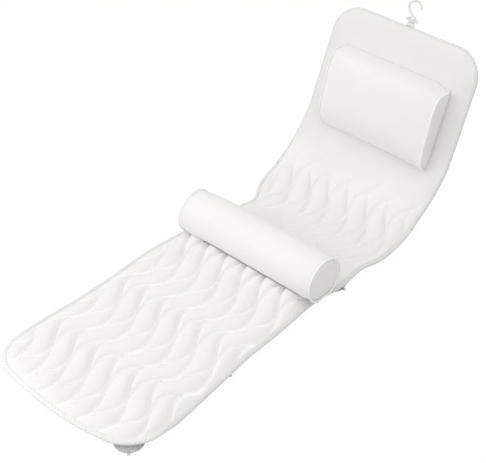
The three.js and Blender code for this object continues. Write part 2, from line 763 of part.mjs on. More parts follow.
function addPillow(group) {
  const place = new THREE.Group();
  place.position.x = PILLOW_ASIDE;
  group.add(place);
  const tapeEnd = PILLOW_AT + PILLOW_HEIGHT + SEAM_TAPE_WIDTH / 2;
  const corner = new THREE.Vector3(-PILLOW_WIDTH / 2, tapeEnd - SEAM_TAPE_WIDTH, SEAM_TAPE_LOW);
  const size = new THREE.Vector3(PILLOW_WIDTH, SEAM_TAPE_WIDTH, SEAM_TAPE_THICKNESS);
  addPiece(place, 'pillow_seam_tape', block(corner, size), bindingTape());
  const pad = { length: PILLOW_WIDTH, stations: PILLOW_STATIONS, outline: pillowOutline };
  const names = {
    cover: 'pillow_cover',
    filling: 'pillow_fill',
    end: 'pillow_gusset',
    piping: 'pillow_piping',
  };
  addCase(place, pad, names, smoothCloth);
}

// Round bar of the hook's wire between two points of its plane, with ball ends
function wireBar(from, to) {
  const axis = new THREE.Vector3(to.x - from.x, to.y - from.y, 0);
  const bar = new THREE.CylinderGeometry(HOOK_WIRE, HOOK_WIRE, axis.length(), HOOK_SIDES);
  bar.rotateZ(Math.atan2(axis.y, axis.x) - Math.PI / 2);
  bar.translate((from.x + to.x) / 2, (from.y + to.y) / 2, 0);
  const balls = [from, to].map((p) => {
    const ball = new THREE.SphereGeometry(HOOK_WIRE, HOOK_SIDES, HOOK_SIDES / 2);
    return solidOf(ball.translate(p.x, p.y, 0));
  });
  return solidOf(bar).add(balls[0]).add(balls[1]);
}

// Hook in its own plane, with the middle of its base bar at the origin
function hangingHook() {
  const onBow = (angle) =>
    new THREE.Vector2(
      HOOK_BOW_OFFSET + HOOK_BOW_RADIUS * Math.cos(angle),
      HOOK_BOW_HEIGHT + HOOK_BOW_RADIUS * Math.sin(angle),
    );
  const sweep = HOOK_SHANK_ANGLE - HOOK_TIP_ANGLE;
  const bow = Array.from({ length: HOOK_STEPS + 1 }, (_, i) => {
    const p = onBow(HOOK_TIP_ANGLE + (sweep * i) / HOOK_STEPS);
    return new THREE.Vector3(p.x, p.y, 0);
  });
  const section = new THREE.Shape();
  section.absarc(0, 0, HOOK_WIRE, 0, 2 * Math.PI);
  const bent = new THREE.ExtrudeGeometry(section, {
    curveSegments: HOOK_SIDES,
    steps: HOOK_STEPS,
    extrudePath: new THREE.CatmullRomCurve3(bow),
  });
  const neck = onBow(HOOK_SHANK_ANGLE);
  const right = new THREE.Vector2(HOOK_EYE_HALF, 0);
  const left = new THREE.Vector2(-HOOK_EYE_HALF, 0);
  const join = neck.clone().lerp(right, HOOK_STRUT_SHARE);
  let hook = solidOf(bent);
  for (const [from, to] of [[neck, right], [left, right], [left, join]]) {
    hook = hook.add(wireBar(from, to));
  }
  return geometryOf(hook);
}

// Webbing loop folded round the hook's base bar, with its two tails sewn to the head edge
function hookLoop() {
  const inner = (HOOK_WIRE + HOOK_PLAY) / Math.cos(Math.PI / LOOP_SIDES);
  const outer = inner + LOOP_CLOTH;
  const open = Math.asin(LOOP_CLOTH / outer);
  const shape = new THREE.Shape();
  shape.moveTo(-LOOP_STANDOFF + LAYER_GAP, -LOOP_CLOTH);
  for (let i = 0; i <= LOOP_SIDES; i += 1) {
    const angle = open - Math.PI + ((2 * Math.PI - 2 * open) * i) / LOOP_SIDES;
    shape.lineTo(outer * Math.cos(angle), outer * Math.sin(angle));
  }
  shape.lineTo(-LOOP_STANDOFF + LAYER_GAP, LOOP_CLOTH);
  const hole = new THREE.Path();
  hole.absarc(0, 0, inner, 0, 2 * Math.PI, true);
  shape.holes.push(hole);
  const loop = new THREE.ExtrudeGeometry(shape, {
    depth: LOOP_WIDTH,
    bevelEnabled: false,
    curveSegments: LOOP_SIDES / 2,
  });
  loop.translate(0, 0, -LOOP_WIDTH / 2);
  return loop.applyMatrix4(
    new THREE.Matrix4().makeBasis(
      new THREE.Vector3(0, 1, 0),
      new THREE.Vector3(0, 0, 1),
      new THREE.Vector3(1, 0, 0),
    ),
  );
}

function addHook(group) {
  const place = new THREE.Group();
  place.position.set(HOOK_ASIDE, HEAD_LENGTH + LOOP_STANDOFF, (BINDING_LOW + BINDING_TOP) / 2);
  group.add(place);
  addPiece(place, 'hanging_hook', hangingHook(), hookPlastic());
  addPiece(place, 'hook_loop', hookLoop(), webbing());
}

// Assembly: each panel hangs on the end of the one before it, folded by the bend between them
function panelGroup(parent, at) {
  const group = new THREE.Group();
  group.position.y = at;
  group.rotation.x = BEND_AT_REST;
  parent.add(group);
  return group;
}

const bathPillow = new THREE.Group();
const legGroup = new THREE.Group();
bathPillow.add(legGroup);
const lumbarGroup = panelGroup(legGroup, LEG_LENGTH);
const shoulderGroup = panelGroup(lumbarGroup, LUMBAR_LENGTH);
const headGroup = panelGroup(shoulderGroup, SHOULDER_LENGTH);

addPanel(legGroup, leg, 'leg_quilt_cover', quiltRow, quiltCloth());
addPanel(lumbarGroup, lumbar, 'lumbar_quilt_cover', quiltRow, quiltCloth());
addPanel(shoulderGroup, shoulder, 'shoulder_cover', smoothRow, smoothCloth());
addPanel(headGroup, head, 'head_cover', smoothRow, smoothCloth());

addCupRow(legGroup, 'foot', FOOT_ROW_AT, FOOT_ROW_MARGIN, TAB_TO_CORNER);
addCupRow(legGroup, 'calf', CALF_ROW_AT, CALF_ROW_MARGIN, TAB_OUTWARD);
addCupRow(legGroup, 'thigh', LEG_LENGTH - THIGH_ROW_FROM_FOLD, THIGH_ROW_MARGIN, TAB_OUTWARD);
addCupRow(legGroup, 'seat', LEG_LENGTH - SEAT_ROW_FROM_FOLD, ROW_MARGIN, TAB_INWARD);
addCupRow(shoulderGroup, 'shoulder', SHOULDER_LENGTH / 2, ROW_MARGIN, TAB_INWARD);
addCupRow(headGroup, 'head', HEAD_ROW_AT, ROW_MARGIN, TAB_INWARD);

addBolster(legGroup);
addPillow(headGroup);
addHook(headGroup);

// Origin under the middle of the whole object, on the surface that the cups stand on
const extent = new THREE.Box3().setFromObject(bathPillow, true);
const middle = extent.getCenter(new THREE.Vector3());
bathPillow.position.set(-middle.x, -middle.y, -extent.min.z);
bathPillow.updateMatrixWorld(true);

export default bathPillow;
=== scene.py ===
# %% [markdown]
# # Full-body bath pillow
# A quilted mat lies flat under the legs and climbs the back of the tub. It carries a head pillow, a loose
# bolster, suction cups on webbing and a hanging hook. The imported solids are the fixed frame, and this
# lesson dresses them: each soft solid is replaced by a sewn, stuffed or rolled piece in the same place.

# %% Load the frame
import math

import bpy
import numpy as np
from mathutils import Matrix, Vector


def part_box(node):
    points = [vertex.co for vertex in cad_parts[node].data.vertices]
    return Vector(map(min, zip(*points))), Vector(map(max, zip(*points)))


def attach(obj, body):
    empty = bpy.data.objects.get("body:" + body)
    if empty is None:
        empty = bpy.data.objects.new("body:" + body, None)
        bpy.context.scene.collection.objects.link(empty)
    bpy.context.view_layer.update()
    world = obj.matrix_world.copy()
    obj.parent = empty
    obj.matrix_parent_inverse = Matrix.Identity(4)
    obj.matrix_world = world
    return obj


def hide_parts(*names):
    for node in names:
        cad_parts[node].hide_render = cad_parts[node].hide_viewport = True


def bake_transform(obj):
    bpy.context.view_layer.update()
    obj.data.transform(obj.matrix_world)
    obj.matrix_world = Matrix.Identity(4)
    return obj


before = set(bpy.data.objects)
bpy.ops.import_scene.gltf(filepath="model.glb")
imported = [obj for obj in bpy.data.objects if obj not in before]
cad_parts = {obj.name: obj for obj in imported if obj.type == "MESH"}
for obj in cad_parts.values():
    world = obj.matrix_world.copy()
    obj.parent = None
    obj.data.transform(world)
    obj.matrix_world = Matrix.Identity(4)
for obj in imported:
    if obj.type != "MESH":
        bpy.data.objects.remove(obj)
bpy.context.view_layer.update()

MM = 0.001
SMALL = 1e-9

# %% [markdown]
# ## One map for the whole mat
# On the real object the mat is one length of padded cloth. It could be modelled panel by panel, but then
# each seam would have to be fitted again at every fold. So every piece of it is laid out flat first: a
# distance along the cloth from the foot edge, a distance across it and a height above the backing. One
# function then bends that flat layout into the room. The solids fold at three straight lines. Averaging
# their path over a short stretch of cloth rounds each fold off, and leaves the straight parts exactly where
# the solids are. The foot edge is not quite straight: it bows back a little towards its corners.

# %% The mat's path
MAT_LENGTH, MAT_WIDTH = 1270.0, 380.0
FOLDS = (815.0, 905.0, 1000.0)
FOLD_ANGLE = math.radians(22.7)
FOLD_SOFTNESS, FOLD_SAMPLES = 46.0, 24
PATH_RUNS_ON = 300.0
FOOT_BOW, FOOT_BOW_OVER = (20.0, 32.0), 170.0
FOOT_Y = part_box("leg_binding")[0].y / MM
MAT_LEVEL = sum(corner.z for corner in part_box("leg_backing")) / 2 / MM
LEG, SHOULDER, HEAD = 0, 2, 3


def eased(t):
    """0 to 1 with a soft start and a soft end."""
    t = np.clip(t, 0, 1)
    return t * t * (3 - 2 * t)


def between(low, high, share):
    return low + (high - low) * share


def unit(vectors):
    return vectors / np.maximum(np.linalg.norm(vectors, axis=-1, keepdims=True), SMALL)


def as_grids(*values):
    return np.broadcast_arrays(*(np.asarray(v, float) for v in values))


def fold_lines():
    """Distance along, and place in the room, of the mat's ends and its fold lines."""
    along, y, z, angle = [-PATH_RUNS_ON], [FOOT_Y - PATH_RUNS_ON], [MAT_LEVEL], 0.0
    for stop in (*FOLDS, MAT_LENGTH + PATH_RUNS_ON):
        step = stop - along[-1]
        along.append(stop)
        y.append(y[-1] + step * math.cos(angle))
        z.append(z[-1] + step * math.sin(angle))
        angle += FOLD_ANGLE
    return along, y, z


PATH = fold_lines()


def folded(along):
    return np.stack([np.interp(along, PATH[0], PATH[1]), np.interp(along, PATH[0], PATH[2])], -1)


def on_mat(along, across, height):
    """Points in the room, in metres, of a flat layout in millimetres."""
    along, across, height = as_grids(along, across, height)
    bow = np.where(across < 0, *FOOT_BOW) * (2 * across / MAT_WIDTH) ** 2
    along = along + bow * eased(1 - along / FOOT_BOW_OVER)
    offsets = (np.arange(FOLD_SAMPLES) + 0.5) * 2 / FOLD_SAMPLES - 1
    middle = np.mean([folded(along + FOLD_SOFTNESS * o) for o in offsets], axis=0)
    run = unit(folded(along + FOLD_SOFTNESS) - folded(along - FOLD_SOFTNESS))
    y = middle[..., 0] - height * run[..., 1]
    z = middle[..., 1] + height * run[..., 0]
    return np.stack([across, y, z], -1) * MM


def on_panel(panel, across, along, height):
    """Points in the room of one straight panel, measured from the fold below it."""
    across, along, height = as_grids(across, along, height)
    start_y = PATH[1][panel] if panel else FOOT_Y
    start_z = PATH[2][panel] if panel else MAT_LEVEL
    turn = FOLD_ANGLE * panel
    y = start_y + along * math.cos(turn) - height * math.sin(turn)
    z = start_z + along * math.sin(turn) + height * math.cos(turn)
    return np.stack([across, y, z], -1) * MM


print("head edge of the mat at", on_mat(MAT_LENGTH, 0, 0).round(3))

# %% [markdown]
# ## Mesh tools
# A sewn piece here is almost always a grid of points: a flat layout pushed up into padding, or rings along
# a path. Curves with a bevel could make the rings too, but a grid keeps its flat layout. That layout is
# stored as a UV map in metres, so that a weave stays on the cloth when the mat bends.

# %% Grids and tubes into meshes
# the flat layout, and two numbers at the points: a painted highlight along the seams and a painted shade
CLOTH_UV, SEAM_HIGHLIGHT, PAINTED_SHADE = "cloth_uv", "seam_highlight", "painted_shade"


def new_piece(name, points, faces, materials, uv=None, face_slots=None):
    mesh = bpy.data.meshes.new(name)
    mesh.from_pydata([tuple(p) for p in points], [], [tuple(f) for f in faces])
    for material in materials:
        mesh.materials.append(material)
    if face_slots is not None:
        mesh.polygons.foreach_set("material_index", np.asarray(face_slots, np.int32))
    if uv is not None:
        corners = np.zeros(len(mesh.loops), np.int32)
        mesh.loops.foreach_get("vertex_index", corners)
        layer = mesh.uv_layers.new(name=CLOTH_UV)
        layer.data.foreach_set("uv", np.asarray(uv, np.float32)[corners].ravel())
    mesh.polygons.foreach_set("use_smooth", np.ones(len(mesh.polygons), bool))
    mesh.update()
    piece = bpy.data.objects.new(name, mesh)
    bpy.context.scene.collection.objects.link(piece)
    return piece


def mark_points(piece, name, values):
    """Stores one number at each point, for the finish of the cloth to read."""
    layer = piece.data.attributes.new(name, "FLOAT", "POINT")
    layer.data.foreach_set("value", np.ascontiguousarray(values, np.float32).ravel())


def grid_faces(rows, columns, wrap_rows=False, wrap_columns=False):
    r = np.arange(rows if wrap_rows else rows - 1)
    c = np.arange(columns if wrap_columns else columns - 1)
    r, c = (v.ravel() for v in np.meshgrid(r, c, indexing="ij"))
    r2, c2 = (r + 1) % rows, (c + 1) % columns
    return np.stack([r * columns + c, r * columns + c2, r2 * columns + c2, r2 * columns + c], 1).tolist()


def tube(name, rings, material, uv=None, closed_path=False, capped=True):
    """Skin through rings of equally many points, in metres."""
    rings = np.asarray(rings, float)
    rows, columns = rings.shape[:2]
    faces = grid_faces(rows, columns, closed_path, True)
    if capped and not closed_path:
        faces.append(list(range(columns))[::-1])
        faces.append(list(range((rows - 1) * columns, rows * columns)))
    return new_piece(name, rings.reshape(-1, 3), faces, [material], uv)


def round_turns(sides):
    return np.linspace(0, 2 * np.pi, sides, endpoint=False)


def run_length(points):
    """Distance travelled at each point of a line."""
    return np.concatenate([[0], np.cumsum(np.linalg.norm(np.diff(points, axis=0), axis=1))])


def resampled(marks, length, table):
    """Rows of a table that is known at some lengths, worked out at other marks."""
    return np.stack([np.interp(marks, length, column) for column in np.asarray(table).T], 1)


def flat_layout(first, second):
    """UV map of a grid from two lengths in millimetres."""
    return np.stack(np.broadcast_arrays(first, second), -1).reshape(-1, 2) * MM


print("mesh tools ready")

# %% [markdown]
# ## Shader arithmetic
# A finish is easier to read as a formula than as a page of nodes. The class below wraps one socket: adding,
# subtracting or multiplying two of them adds the Math node for it, and one method adds any other node from
# its type, its settings and its inputs.

# %% A socket that does arithmetic
class Value:
    """One output socket of a shader, used in Python expressions."""

    def __init__(self, tree, socket=None):
        self.tree, self.socket = tree, socket

    def add(self, kind, settings=None, inputs=None, output=0):
        node = self.tree.nodes.new(kind)
        for key, setting in (settings or {}).items():
            setattr(node, key, setting)
        for key, given in (inputs or {}).items():
            if isinstance(given, Value):
                self.tree.links.new(given.socket, node.inputs[key])
            else:
                node.inputs[key].default_value = given
        return Value(self.tree, node.outputs[output]) if node.outputs else None

    def math(self, operation, first, second=0.0):
        return self.add("ShaderNodeMath", {"operation": operation}, {0: first, 1: second})

    def __add__(self, other):
        return self.math("ADD", self, other)

    def __sub__(self, other):
        return self.math("SUBTRACT", self, other)

    def __rsub__(self, other):
        return self.math("SUBTRACT", other, self)

    def __mul__(self, other):
        return self.math("MULTIPLY", self, other)

    __radd__ = __add__
    __rmul__ = __mul__


def new_finish(name):
    """An empty node material, with a Value to start its expressions from and a function that closes it."""
    material = bpy.data.materials.new(name)
    material.use_nodes = True
    tree = material.node_tree
    tree.nodes.clear()
    start = Value(tree)

    def close(colour, rough, height=None, **constants):
        inputs = {"Base Color": colour, "Roughness": rough, **constants}
        if height is not None:
            relief = {"Strength": 1.0, "Distance": 1.0, "Height": height}
            inputs["Normal"] = start.add("ShaderNodeBump", {}, relief)
        surface = start.add("ShaderNodeBsdfPrincipled", {}, inputs)
        start.add("ShaderNodeOutputMaterial", {"is_active_output": True}, {"Surface": surface})
        return material

    return start, close


def mixed(start, share, low, high, blend="MIX"):
    """Colour between two colours by a share, or a colour multiplied by another."""
    low, high = (c if isinstance(c, Value) else (*c, 1.0) for c in (low, high))
    settings = {"data_type": "RGBA", "blend_type": blend}
    return start.add("ShaderNodeMix", settings, {0: share, 6: low, 7: high}, output=2)


def noise(start, place, scale, detail):
    return start.add("ShaderNodeTexNoise", {}, {"Vector": place, "Scale": scale, "Detail": detail})


print("shader arithmetic ready")

# %% [markdown]
# ## Knitted cloth
# The mat is covered in a white air-mesh knit: rows of tiny loops with pores between them. An image of a
# knit would need unwrapping and would blur close by, so the loops come from two crossed sine waves on the
# flat layout. A slow noise shifts the white a little, as handled cloth does, and a second one gives faint
# creases. The pillow and bolster have no flat layout after their stuffing is simulated, so their knit is
# laid on in the object's own axes. Two numbers stored at the points paint light into the cloth: a paler
# white along the seams is a painted highlight, and a darker tint multiplied in is painted shade.

# %% Knit finishes
SLOW_SCALE, SLOW_DETAIL, SLOW_SHARE = 9.0, 3.0, 1.2
CREASE_SCALE, CREASE_DETAIL, CREASE_SHARE, CREASE_DEPTH = 55.0, 4.0, 0.25, 0.0009
SHADE_SHARE = 0.25
KNIT_ROUGH, KNIT_ROUGH_SPAN = 0.82, 0.12
SHEEN = {"Sheen Weight": 0.25, "Sheen Roughness": 0.45, "Specular IOR Level": 0.25}


def cloth_place(start, on_layout):
    if on_layout:
        return start.add("ShaderNodeUVMap", {"uv_map": CLOTH_UV})
    return start.add("ShaderNodeTexCoord", output="Object")


def split(start, place):
    return [start.add("ShaderNodeSeparateXYZ", {}, {0: place}, output=i) for i in range(3)]


def stored(start, name):
    return start.add("ShaderNodeAttribute", {"attribute_name": name}, output="Fac")


def knit(name, light, shade, pitch, pore_depth, on_layout, pore_shade=0.0, seam_highlight=None, painted_shade=None):
    """A knitted cloth with pores every pitch metres, shaded between two whites.

    A paler white along its seams is a painted highlight, and a tint multiplied in where the points ask is
    painted shade.
    """
    start, close = new_finish(name)
    place = cloth_place(start, on_layout)
    x, y, z = split(start, place)
    turn = 2 * math.pi / pitch
    loops = start.math("SINE", x * turn) * start.math("SINE", (y + z) * turn)
    slow = noise(start, place, SLOW_SCALE, SLOW_DETAIL)
    crease = noise(start, place, CREASE_SCALE, CREASE_DETAIL)
    pores = start.math("MAXIMUM", loops * -1.0, 0.0) * pore_shade
    share = slow * SLOW_SHARE + crease * CREASE_SHARE - SHADE_SHARE - pores
    colour = mixed(start, start.math("MAXIMUM", share, 0.0), shade, light)
    if seam_highlight:
        colour = mixed(start, stored(start, SEAM_HIGHLIGHT), colour, seam_highlight)
    if painted_shade:
        colour = mixed(start, stored(start, PAINTED_SHADE), colour, painted_shade, "MULTIPLY")
    rough = crease * KNIT_ROUGH_SPAN + KNIT_ROUGH
    return close(colour, rough, loops * pore_depth + crease * CREASE_DEPTH, **SHEEN)


# a paler white painted along the seams as highlight, and a grey multiplied in as painted shade on the smooth
# upper mat
quilt_cloth = knit("quilt_cloth", light=(0.905, 0.897, 0.882), shade=(0.85, 0.842, 0.827), pitch=0.0022,
                   pore_depth=0.00012, on_layout=True, seam_highlight=(0.985, 0.979, 0.967), painted_shade=(0.94, 0.94, 0.94))
pillow_cloth = knit("pillow_cloth", light=(0.91, 0.902, 0.887), shade=(0.86, 0.852, 0.837), pitch=0.0018,
                    pore_depth=0.00008, on_layout=False)
# the edge tape is darkened along the mat's sides by a multiplied tint, a painted shade
edge_cloth = knit("edge_cloth", light=(0.99, 0.984, 0.972), shade=(0.82, 0.813, 0.8), pitch=0.0084,
                  pore_depth=0.0005, on_layout=True, pore_shade=1.0, painted_shade=(0.88, 0.88, 0.88))
backing_cloth = knit("backing_cloth", light=(0.85, 0.85, 0.845), shade=(0.66, 0.66, 0.655), pitch=0.003,
                     pore_depth=0.0002, on_layout=True, pore_shade=0.6)
# the piping is whiter than the knit beside it: a painted highlight along the cords
piping_highlight_cloth = knit("piping_highlight_cloth", light=(0.98, 0.978, 0.97), shade=(0.92, 0.918, 0.91), pitch=0.0016,
                    pore_depth=0.00006, on_layout=False)
seam_cloth = knit("seam_cloth", light=(0.86, 0.852, 0.838), shade=(0.8, 0.793, 0.78), pitch=0.0018,
                  pore_depth=0.00008, on_layout=True)
fastener_cloth = knit("fastener_cloth", light=(0.86, 0.86, 0.852), shade=(0.62, 0.62, 0.612), pitch=0.0016,
                      pore_depth=0.0004, on_layout=True, pore_shade=0.8)
print("knits:", [m.name for m in bpy.data.materials if m.name.endswith("cloth")])

# %% [markdown]
# ## Webbing
# The cups and the hook hang on woven tape. Its ribs run across it, and each row of threads leans the other
# way, a herringbone. One sine wave makes the ribs, and a second one inside it makes them lean.

# %% Webbing finish
HERRINGBONE, WEAVE_SHARE, WEAVE_DEPTH = 1.4, 0.35, 0.00018
TAPE_NOISE_SCALE, TAPE_NOISE_DETAIL, TAPE_NOISE_SHARE = 30.0, 2.0, 0.6
TAPE_ROUGH, TAPE_ROUGH_SPAN = 0.7, 0.1


def webbing(name, light, shade, rib):
    """Woven tape with a rib every so many metres."""
    start, close = new_finish(name)
    place = cloth_place(start, True)
    x, y, _ = split(start, place)
    turn = 2 * math.pi / rib
    weave = start.math("SINE", x * turn + start.math("SINE", y * turn) * HERRINGBONE)
    slow = noise(start, place, TAPE_NOISE_SCALE, TAPE_NOISE_DETAIL)
    colour = mixed(start, weave * WEAVE_SHARE + slow * TAPE_NOISE_SHARE, shade, light)
    rough = slow * TAPE_ROUGH_SPAN + TAPE_ROUGH
    return close(colour, rough, weave * WEAVE_DEPTH, **{"Specular IOR Level": 0.3})


strap_cloth = webbing("strap_cloth", light=(0.90, 0.90, 0.893), shade=(0.78, 0.78, 0.772), rib=0.0019)
print("webbing:", strap_cloth.name)

# %% [markdown]
# ## Thread, vinyl and plastic
# The stitching is plain polyester thread. The cups are soft clear vinyl, which looks grey because it lets
# light through and holds some of it back. The hook is moulded plastic with a faint ripple from its mould.
# None of them has a pattern, so one noise serves for the colour, the gloss and the surface of each.

# %% Clouded finishes
def clouded(name, scale, detail, low, high, rough, rough_span, depth=None, **constants):
    """A finish whose colour, roughness and height vary with one noise."""
    start, close = new_finish(name)
    cloud = noise(start, cloth_place(start, False), scale, detail)
    height = cloud * depth if depth else None
    return close(mixed(start, cloud, low, high), cloud * rough_span + rough, height, **constants)


sewing_thread = clouded("sewing_thread", scale=900.0, detail=1.0, low=(0.84, 0.84, 0.832),
                        high=(0.94, 0.94, 0.932), rough=0.5, rough_span=0.2)
clear_vinyl = clouded("clear_vinyl", scale=60.0, detail=3.0, low=(0.75, 0.745, 0.738),
                      high=(0.85, 0.845, 0.838), rough=0.2, rough_span=0.15, depth=0.0004,
                      **{"Transmission Weight": 0.3, "IOR": 1.5, "Coat Weight": 0.2})
moulded_plastic = clouded("moulded_plastic", scale=140.0, detail=2.0, low=(0.70, 0.70, 0.695),
                          high=(0.78, 0.78, 0.775), rough=0.3, rough_span=0.2, depth=0.0003,
                          **{"Coat Weight": 0.15})
print("clouded finishes:", sewing_thread.name, clear_vinyl.name, moulded_plastic.name)

# %% [markdown]
# ## The mat's outline
# Seen flat, the mat has large rounded corners at both ends and a waist behind the bolster. The rules for
# the half width are the ones of the solids. The photographed mat is soft and lies a little unevenly, so
# each side also wanders by some millimetres. A noise would wander anywhere, so the offsets are listed at
# a few places along the cloth and smoothed between them.

# %% Outline of the mat
WAIST_DEPTH, WAIST_AT, WAIST_FOOT_SPREAD, WAIST_HEAD_SPREAD = 24.0, 690.0, 190.0, 85.0
FOOT_CORNER, HEAD_CORNER = 62.0, 67.0
CORNERS = ((FOOT_CORNER, 0), (HEAD_CORNER, 1))
LIE_SMOOTHING, LIE_SAMPLES = 18.0, 9
RIGHT_LIE = ((0, 3), (130, 11), (240, 1), (345, -9), (530, -6), (575, 1), (622, 15), (650, 15), (702, 11),
             (735, 18), (765, 12), (800, 4), (890, -4), (1000, 0), (1270, 2))
LEFT_LIE = ((0, 2), (130, 6), (240, 0), (330, 1), (440, 10), (540, 9), (690, -5), (722, -17), (742, -18),
            (768, -2), (800, 3), (940, 7), (1130, 3), (1270, -1))
LIE = {-1: LEFT_LIE, 1: RIGHT_LIE}


def half_width(along, side):
    """Distance from the middle line to the left (-1) or right (1) edge."""
    spread = np.where(along < WAIST_AT, WAIST_FOOT_SPREAD, WAIST_HEAD_SPREAD)
    design = MAT_WIDTH / 2 - WAIST_DEPTH * np.exp(-(((along - WAIST_AT) / spread) ** 2))
    places, offsets = zip(*LIE[side])
    window = np.linspace(-LIE_SMOOTHING, LIE_SMOOTHING, LIE_SAMPLES)
    return design + np.mean([np.interp(along + w, places, offsets) for w in window], axis=0)


def from_end(along, end):
    return MAT_LENGTH - along if end else along


def reach(along, inset, side):
    """Half width on one side of the outline drawn in by an inset, with its rounded corners."""
    half = half_width(along, side) - inset
    for radius, end in CORNERS:
        inner = radius - inset
        left = np.clip(inner - (from_end(along, end) - inset), 0, inner)
        half = half - (inner - np.sqrt(inner**2 - left**2))
    return half


def edge_distance(along, across):
    half = np.where(across < 0, half_width(along, -1), half_width(along, 1))
    distance = half - np.abs(across)
    for radius, end in CORNERS:
        endways = from_end(along, end)
        sideways = np.abs(across) - (half - radius)
        inside = (sideways > 0) & (endways < radius)
        rounded = radius - np.hypot(sideways, radius - endways)
        distance = np.minimum(distance, endways)
        distance = np.where(inside, np.minimum(distance, rounded), distance)
    return distance


every_place = np.linspace(0, MAT_LENGTH, 400)
narrowest = (half_width(every_place, -1) + half_width(every_place, 1)).min()
print("narrowest width:", round(float(narrowest), 1), "mm")

# %% [markdown]
# ## Stitch lines
# Two families of lines hold the padding down. The main lines wave along the mat, with a long stroke one way
# and a short stroke back. Between each two of them a fainter line swings from one to the other, so the
# padding stands up in leaf-shaped cells. The lines could be drawn as curves, but as formulas they give
# every point of the mat its distance to the nearest seam.

# %% Waves of the two families
PITCH, PERIOD, LINE_GAP = 52.5, 178.0, 4.0
MAIN_SWING, MAIN_START, LONG_STROKE = 17.0, 214.0, 0.624
CROSS_SWING, CROSS_START = 20.0, 262.0
LINE_NUMBERS = range(-4, 4)


def main_wave(along):
    part = np.mod((along - MAIN_START) / PERIOD, 1)
    back = (part - LONG_STROKE) / (1 - LONG_STROKE)
    return np.where(part < LONG_STROKE, np.cos(np.pi * part / LONG_STROKE), -np.cos(np.pi * back))


def main_line(k, along):
    return k * PITCH + MAIN_SWING * main_wave(along)


def cross_line(k, along):
    swing = CROSS_SWING * np.cos(2 * np.pi * (along - CROSS_START) / PERIOD)
    low, high = main_line(k, along) + LINE_GAP, main_line(k + 1, along) - LINE_GAP
    return np.clip((k + 0.5) * PITCH + swing, low, high)


def lines_beside(along, across):
    """The main line left of a point, the fainter line, and the main line right of it."""
    k = np.floor((across - MAIN_SWING * main_wave(along)) / PITCH)
    return main_line(k, along), cross_line(k, along), main_line(k + 1, along)


print("stitch lines across the mat:", 2 * len(LINE_NUMBERS))

# %% [markdown]
# ## Cells of padding
# A cell is fibre held between two seams, so a wide cell stands higher than a narrow one. Each point asks
# which two lines it lies between, and rises on a dome whose height follows from their distance. Along the
# seams the cloth puckers in small creases, which a sine wave that dies out beside the seam gives.

# %% Padding between the seams
PUFF, FULL_GAP, SEAM_HALF, DOME_POWER = 10.5, 34.0, 1.3, 0.5
RIDGE_LIFT, RIDGE_POWER = 0.12, 1.5
PUCKER, PUCKER_LENGTH, PUCKER_SLANT, PUCKER_REACH = 0.55, 11.0, 0.35, 6.0
PUCKER_WANDER, PUCKER_WANDER_OVER = 2.1, 23.0


def puff_over(gap):
    return PUFF * np.minimum(1, np.sqrt(np.maximum(gap - LINE_GAP, 0) / FULL_GAP))


def quilted(along, across):
    """Height of the padding above its stitches, where nothing else presses on it."""
    left, cross, right = lines_beside(along, across)
    first = across < cross
    begin, end = np.where(first, left, cross), np.where(first, cross, right)
    width = np.maximum(end - begin - 2 * SEAM_HALF, SMALL)
    share = np.clip((across - begin - SEAM_HALF) / width, 0, 1)
    dome = np.maximum(1 - (2 * share - 1) ** 2, 0) ** DOME_POWER
    ridge = RIDGE_LIFT * np.minimum(puff_over(cross - left), puff_over(right - cross))
    bottom = ridge * np.where(first, share, 1 - share) ** RIDGE_POWER
    top = puff_over(end - begin)
    near = np.min([np.abs(across - line) for line in (left, cross, right)], axis=0)
    wander = PUCKER_WANDER * np.sin(across / PUCKER_WANDER_OVER)
    pucker = np.sin(2 * np.pi * (along + PUCKER_SLANT * across) / PUCKER_LENGTH + wander)
    return between(bottom, top, dome) + PUCKER * pucker * np.exp(-near / PUCKER_REACH) * (top / PUFF)


leg_along, leg_across = np.linspace(100, 500, 300)[:, None], np.linspace(-150, 150, 200)[None, :]
print("cells rise to", round(float(quilted(leg_along, leg_across).max()), 1), "mm")

# %% [markdown]
# ## What presses on the padding
# The quilting fades out above the lower back. The bolster presses it flat, squeezes it up in front until it
# touches the bolster's round underside, and leaves it settled for a while behind. The pillow's low end lies
# in a shallow bed, and towards the edge the padding rolls down to the tape. A collision of cloth could find
# some of this, but these few rules keep the photographed lie of each cell.

# %% Height of the mat's top
STITCH_LEVEL, LIP_LEVEL, SMOOTH_PUFF = 8.0, 5.3, 5.5
QUILT_END, QUILT_FADE = 800.0, 165.0
BOLSTER_AT, BOLSTER_ASIDE = 562.0, 6.0
BOLSTER_RADIUS, BOLSTER_HALF, BOLSTER_FLAT = 51.0, 178.0, 38.0
BOLSTER_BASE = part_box("bolster_cover")[0].z / MM
BOLSTER_Z = BOLSTER_BASE + math.sqrt(BOLSTER_RADIUS**2 - (BOLSTER_FLAT / 2) ** 2)
PRESS_REACH, PRESS_FADE, PRESSED_SHARE, PRESSED_IN = 17.0, 8.0, 0.12, 0.4
PAST_END_SLOPE = 2.0
SETTLED_SHARE, SETTLED_OVER = 0.3, 330.0
SWELL, SWELL_AT, SWELL_OVER, SEAM_SWELL = 13.0, 31.0, 44.0, 0.4
TAPE_SHOWS, PLAIN_TAPE_SHOWS, EDGE_ROLL, ROLL_POWER = 9.0, 3.0, 40.0, 2.4
FOOT_ROLL, FOOT_ROLL_OVER, FOOT_SHARE = 22.0, 130.0, 0.85
BED_DEPTH, BED_HALF, BED_LOW, BED_TOP, BED_FADE, BED_TOP_FADE = 4.0, 134.0, -6.0, 60.0, 12.0, 40.0


def smooth_share(along):
    return eased((along - QUILT_END) / QUILT_FADE)


